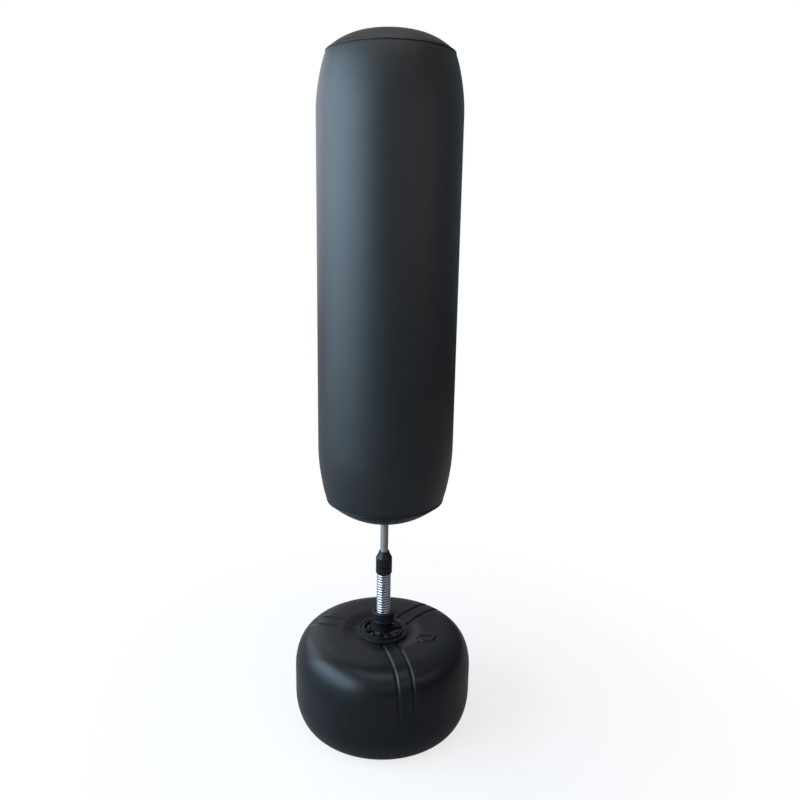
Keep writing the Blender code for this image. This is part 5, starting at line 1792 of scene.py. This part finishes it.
@dataclass
class Zip:
    """The zip up the back of the cover: tape, teeth, slider and pull tab."""

    bag_radius: float = InflatedBag.radius
    low: float = InflatedBag.zip_low
    high: float = InflatedBag.zip_high
    tape_width: float = 0.0240
    tape_thickness: float = 0.0008
    tape_ripple: float = 0.00035
    gap: float = 0.0003
    stitch_pitch: float = 0.0036
    stitch_size: tuple[float, float, float] = (0.00042, 0.00034, 0.0014)
    stitch_rise: float = 0.0001
    stitch_row: float = 0.40
    teeth_width: float = 0.0050
    teeth_height: float = 0.0012
    tooth: tuple[float, float] = (0.56, 0.46)
    tooth_place: float = 0.215
    tooth_slope: float = 0.15
    tooth_edge: float = 0.00016
    pitch: float = 0.0020
    margin: float = 0.008
    stop_margin: float = 0.0045
    stop_length: float = 0.0030
    slider: tuple[float, float, float] = (0.0100, 0.0042, 0.0120)
    slider_waist: float = 0.72
    slider_corner: float = 0.0018
    slider_edge: float = 0.0005
    slider_margin: float = 0.006
    cut_past: float = 0.004
    lug_length: float = 0.0040
    lug_height: float = 0.0036
    lug_sunk: float = 0.0002
    lug_corner: float = 0.0012
    lug_edge: float = 0.0003
    tab: tuple[float, float, float] = (0.0060, 0.0012, 0.0260)
    tab_waist: float = 0.86
    tab_corner: float = 0.0016
    tab_edge: float = 0.00028
    grip: tuple[float, float, float] = (0.36, 0.68, 0.40)
    grip_corner: float = 0.00105
    grip_edge: float = 0.00001
    roll: float = 0.0014
    roll_length: float = 0.47
    pin: float = 0.0006
    pin_sunk: float = 0.0005

    def build(self) -> None:
        """Makes the four parts."""
        back = self.bag_radius + self.gap
        self.tape(back)
        self.teeth(back + self.tape_thickness)
        inner = back + self.tape_thickness + self.gap
        rest = self.high - self.slider_margin - self.slider[2] / 2
        self.slide(inner, rest)
        self.pull(inner + self.slider[1] + self.lug_height / 2, rest)

    def bend(self, bm: Shape, out: float) -> None:
        """Bends a flat mesh at a distance out from the axis round the bag.

        Args:
            bm: the mesh.
            out: the distance.
        """
        for vert in bm.verts:
            turn, r = vert.co.x / out, vert.co.y
            vert.co.x, vert.co.y = r * math.sin(turn), r * math.cos(turn)

    def tape(self, back: float) -> None:
        """Makes the woven tape with its two rows of stitches.

        Args:
            back: distance of its inner face from the bag's axis.
        """
        bm = bmesh.new()
        half, face = self.tape_width / 2, back + self.tape_thickness
        place = (Matrix.Translation((0.0, face, (self.low + self.high) / 2))
                 @ Matrix.Rotation(math.pi / 2, 4, "X")
                 @ Matrix.Diagonal((half, (self.high - self.low) / 2, 1.0, 1.0)))
        bmesh.ops.create_grid(bm, x_segments=16, y_segments=150, size=1.0, matrix=place)
        bmesh.ops.recalc_face_normals(bm, faces=bm.faces)
        bm.faces.ensure_lookup_table()
        if bm.faces[0].normal.y < 0:
            bmesh.ops.reverse_faces(bm, faces=bm.faces)
        for vert in bm.verts:
            ripple = noise.noise(Vector((vert.co.x * 60, 0.0, vert.co.z * 55)))
            vert.co.y += self.tape_ripple * ripple * (abs(vert.co.x) / half) ** 2
        self.bend(bm, back)
        SHOP.finished("zip_cloth", bm, Slot.TAPE, "bag", ["zip_tape"], wall=self.tape_thickness)
        rows = bmesh.new()
        for x in (-self.tape_width * self.stitch_row, self.tape_width * self.stitch_row):
            for k in range(int((self.high - self.low) / self.stitch_pitch)):
                z = self.low + self.stitch_pitch * (k + 0.5)
                place = (Matrix.Translation((x, face + self.stitch_rise, z))
                         @ Matrix.Diagonal((*self.stitch_size, 1.0)))
                bmesh.ops.create_uvsphere(rows, u_segments=6, v_segments=4, radius=1.0, matrix=place)
        self.bend(rows, back)
        bmesh.ops.recalc_face_normals(rows, faces=rows.faces)
        SHOP.finished("zip_stitches", rows, Slot.TAPE, "bag", weighted=False, finish=THREAD)

    def teeth(self, face: float) -> None:
        """Makes the two interlocking rows of teeth and the stops at their ends.

        Args:
            face: distance of the tape's outer face from the bag's axis.
        """
        bm = bmesh.new()
        size = (self.teeth_width * self.tooth[0], self.teeth_height, self.pitch * self.tooth[1])
        middle = face + self.teeth_height / 2
        count = int((self.high - self.low - 2 * self.margin) / self.pitch)
        for k in range(2 * count):
            side = 1 if k % 2 else -1
            x = side * self.teeth_width * self.tooth_place
            for vert in SHOP.block(bm, size, (x, middle, self.low + self.margin + self.pitch * k / 2)):
                if (vert.co.x - x) * side < 0 and vert.co.y > middle:
                    vert.co.y -= self.teeth_height * self.tooth_slope
        for z in (self.low + self.stop_margin, self.high - self.stop_margin):
            SHOP.block(bm, (self.teeth_width, self.teeth_height * 1.1, self.stop_length), (0.0, middle, z))
        SHOP.bevelled(bm, list(bm.edges), self.tooth_edge, 1, clamped=False)
        self.bend(bm, face)
        SHOP.finished("zip_chain", bm, Slot.DARK, "bag")

    def slide(self, inner: float, rest: float) -> None:
        """Makes the slider with its channel, its two lugs and the pin.

        Args:
            inner: distance of its inner face from the bag's axis.
            rest: height of its middle.
        """
        width, depth, length = self.slider
        outer, lug_gap = inner + depth, self.tab[0] / 2 + self.gap
        bm = SHOP.boxed(self.slider, (0.0, inner + depth / 2, rest))
        for vert in bm.verts:
            if vert.co.z < rest:
                vert.co.x *= self.slider_waist
        SHOP.rounded(bm, self.slider_corner, "Y")
        SHOP.soften(bm, self.slider_edge)
        room = (self.teeth_width + 2 * self.gap, 2 * (self.teeth_height + self.gap), length + self.cut_past)
        channel = SHOP.boxed(room, (0.0, inner - self.gap, rest))
        bm = SHOP.joined(bm, channel, Join.CUT)
        lugs = bmesh.new()
        for side in (-1, 1):
            SHOP.block(lugs, (width / 2 - lug_gap, self.lug_height + 2 * self.lug_sunk, self.lug_length),
                       (side * (width / 2 + lug_gap) / 2, outer + self.lug_height / 2 - self.lug_sunk, rest))
        SHOP.rounded(lugs, self.lug_corner, "X")
        SHOP.soften(lugs, self.lug_edge)
        bm = SHOP.joined(bm, lugs)
        pin = SHOP.drums(self.pin, -lug_gap - self.pin_sunk, lug_gap + self.pin_sunk, 20)
        across = Matrix.Rotation(math.pi / 2, 4, "Y")
        SHOP.moved(pin, Matrix.Translation((0.0, outer + self.lug_height / 2, rest)) @ across)
        bm = SHOP.joined(bm, pin)
        SHOP.finished("zip_runner", bm, Slot.DARK, "slider", ["zip_slider"])

    def pull(self, pivot: float, rest: float) -> None:
        """Makes the pull tab with its eye and a grip hole.

        Args:
            pivot: distance of its hinge from the bag's axis.
            rest: height of its hinge.
        """
        width, thickness, length = self.tab
        across = Matrix.Rotation(math.pi / 2, 4, "Y")
        bm = SHOP.boxed(self.tab, (0.0, 0.0, -length / 2))
        for vert in bm.verts:
            if vert.co.z > -length / 2:
                vert.co.x *= self.tab_waist
        SHOP.rounded(bm, self.tab_corner, "Y")
        SHOP.soften(bm, self.tab_edge)
        roll = SHOP.drums(self.roll, -width * self.roll_length, width * self.roll_length, 28)
        bm = SHOP.joined(bm, SHOP.moved(roll, across))
        bm = SHOP.joined(bm, SHOP.moved(SHOP.drums(self.pin + self.gap, -width, width, 24), across), Join.CUT)
        wide, down, long = self.grip
        grip = SHOP.boxed((width * wide, 4 * thickness, length * long), (0.0, 0.0, -length * down))
        SHOP.rounded(grip, self.grip_corner, "Y")
        SHOP.soften(grip, self.grip_edge)
        bm = SHOP.joined(bm, grip, Join.CUT)
        place = Matrix.Translation((0.0, pivot, rest))
        SHOP.finished("zip_pull", SHOP.moved(bm, place), Slot.DARK, "tab", ["zip_tab"])


@dataclass(frozen=True)
class Lamp:
    """A soft rectangular lamp: where it hangs, what it faces, its width and height, watts and colour."""

    name: str
    place: tuple[float, float, float]
    aim: tuple[float, float, float]
    size: tuple[float, float]
    power: float
    colour: Colour

    def hang(self) -> None:
        """Sets the lamp in the scene."""
        data = bpy.data.lights.new(self.name, "AREA")
        data.shape = "RECTANGLE"
        data.size, data.size_y = self.size
        data.energy = self.power
        data.color = self.colour
        lamp = in_scene(self.name, data)
        lamp.location = self.place
        lamp.rotation_mode = "QUATERNION"
        lamp.rotation_quaternion = (Vector(self.aim) - Vector(self.place)).to_track_quat("-Z", "Y")


@dataclass
class Studio:
    """The floor, the lights and the camera."""

    focal: float = 752.93
    picture: float = 800.0
    sensor: float = 36.0
    clips: tuple[float, float] = (0.05, 60.0)
    pitch_deg: float = 13.255
    roll_deg: float = 1.029
    yaw_deg: float = 1.096
    eye: tuple[float, float, float] = (-0.0006, -1.7632, 1.2628)
    floor_radius: float = 14.0
    floor_grey: float = 0.26
    floor_white: float = 0.92
    room_level: float = 0.2
    screen_reach: float = 2.5
    screen_heights: tuple[float, float] = (0.02, 2.6)
    screen_start_deg: float = -112.0
    screen_turn_deg: float = 184.0
    screen_greys: tuple[float, float] = (0.07, 0.27)
    lamps: tuple[Lamp, ...] = (
        Lamp("window", (-2.6, -1.50, 2.1), (0.0, -1.50, 2.0), (4.4, 2.0), 200.0, (0.55, 0.79, 1.0)),
        Lamp("window_side", (-2.6, 1.70, 2.0), (0.0, 0.0, 1.2), (1.8, 1.8), 20.0, (0.70, 0.85, 1.0)),
        Lamp("window_foot", (-2.6, -1.60, 0.72), (0.0, -1.60, 0.75), (4.6, 0.72), 33.0, (0.56, 0.79, 1.0)),
        Lamp("rear", (-1.3, 2.3, 1.7), (0.0, 0.0, 0.7), (1.8, 1.8), 8.3, (0.75, 0.87, 1.0)),
        Lamp("fill", (1.27, -1.41, 1.52), (0.0, 0.0, 1.42), (2.8, 0.5), 5.2, (1.0, 0.97, 0.91)),
        Lamp("ceiling", (0.0, -0.6, 3.6), (0.0, 0.0, 0.6), (2.4, 2.4), 24.0, (1.0, 0.98, 0.95)))

    def build(self) -> None:
        """Sets up everything that isn't the object."""
        self.camera()
        self.floor()
        self.world()
        self.screen()
        for lamp in self.lamps:
            lamp.hang()

    def camera(self) -> None:
        """Places the camera at the photograph's viewing angle."""
        data = bpy.data.cameras.new("camera")
        data.sensor_width = self.sensor
        data.lens = data.sensor_width * self.focal / self.picture
        data.clip_start, data.clip_end = self.clips
        eye = in_scene("camera", data)
        turn = (Matrix.Rotation(-math.radians(self.yaw_deg), 4, "Z")
                @ Matrix.Rotation(math.radians(90.0 - self.pitch_deg), 4, "X")
                @ Matrix.Rotation(math.radians(self.roll_deg), 4, "Z"))
        eye.matrix_world = Matrix.Translation(self.eye) @ turn
        bpy.context.scene.camera = eye
        bpy.context.scene.view_settings.view_transform = "Standard"

    def staged(self, name: str, bm: Shape) -> tuple[Piece, Graph]:
        """Makes a piece of the stage.

        Args:
            name: its name.
            bm: its mesh, which is freed.

        Returns:
            The object, and the empty graph of its material.
        """
        mesh = as_mesh(name, bm)
        made = bpy.data.materials.new(f"{name}_look")
        made.use_nodes = True
        mesh.materials.append(made)
        obj = in_scene(name, mesh)
        return obj, Graph(made.node_tree)

    def floor(self) -> None:
        """Makes a plain pale floor that keeps the object's shadow and runs out into the background."""
        bm = bmesh.new()
        bmesh.ops.create_circle(bm, cap_ends=True, segments=96, radius=self.floor_radius)
        graph = self.staged("floor", bm)[1]
        where = graph.place()
        distance = graph.node("ShaderNodeVectorMath", {"operation": "LENGTH"}, {0: where}, "Value")
        rays, shiny, clear = graph.rays()
        seen = rays.most(clear) * distance.eased(0.2, 1.3, 0.76, 1.0)
        seen = seen.most(shiny * distance.eased(0.7, 2.6, 0.10, 0.30))
        paint = graph.mixed(rays, (self.floor_grey,) * 3, (self.floor_white,) * 3)
        diffuse = graph.node("ShaderNodeBsdfDiffuse", {}, {"Color": paint})
        white = graph.node("ShaderNodeEmission", {}, {"Color": (1.0, 1.0, 1.0, 1.0), "Strength": 1.0})
        mix = graph.node("ShaderNodeMixShader", {}, {0: seen, 1: diffuse, 2: white})
        graph.node("ShaderNodeOutputMaterial", {}, {"Surface": mix})

    def world(self) -> None:
        """Makes a dim, even room that the camera sees as a white background."""
        world = bpy.data.worlds.new("room")
        bpy.context.scene.world = world
        world.use_nodes = True
        graph = Graph(world.node_tree)
        rays, shiny, clear = graph.rays()
        side = graph.place().part("X").eased(-0.3, 0.5, 0.22, 0.02)
        level = rays.most(shiny * side).most(clear) * (1.0 - self.room_level) + self.room_level
        light = graph.node("ShaderNodeBackground", {}, {"Color": (1.0, 1.0, 1.0, 1.0), "Strength": level})
        graph.node("ShaderNodeOutputWorld", {}, {"Surface": light})

    def screen(self) -> None:
        """Hangs a dark cloth round the right and behind the camera, unseen by it, which shades that side."""
        bm = bmesh.new()
        start = math.radians(self.screen_start_deg)
        post = [bm.verts.new((*on_circle(self.screen_reach, start), z)) for z in self.screen_heights]
        rail = bm.edges.new(post)
        bmesh.ops.spin(bm, geom=post + [rail], axis=(0, 0, 1), cent=(0, 0, 0), steps=36,
                       angle=math.radians(self.screen_turn_deg))
        screen, graph = self.staged("screen", bm)
        screen.visible_camera = False
        dark, light = self.screen_greys
        height = graph.place().part("Z").eased(0.3, 1.35)
        graph.surface(Base_Color=graph.mixed(height, (dark,) * 3, (light,) * 3), Roughness=0.9,
                      Specular_IOR_Level=0.1)


def main() -> None:
    """Builds the stage and every sub-assembly."""
    logging.basicConfig(level=logging.INFO, format="%(name)s: %(message)s")
    bag = InflatedBag()
    for part in (Studio(), Tank(), FillerCap(), SocketFlange(), CoilSpring(), Post(), TwistLock(), Pole(),
                 bag, Valve(bag), Zip()):
        part.build()
        LOG.info("%s is in place", type(part).__name__)


if __name__ == "__main__":
    main()
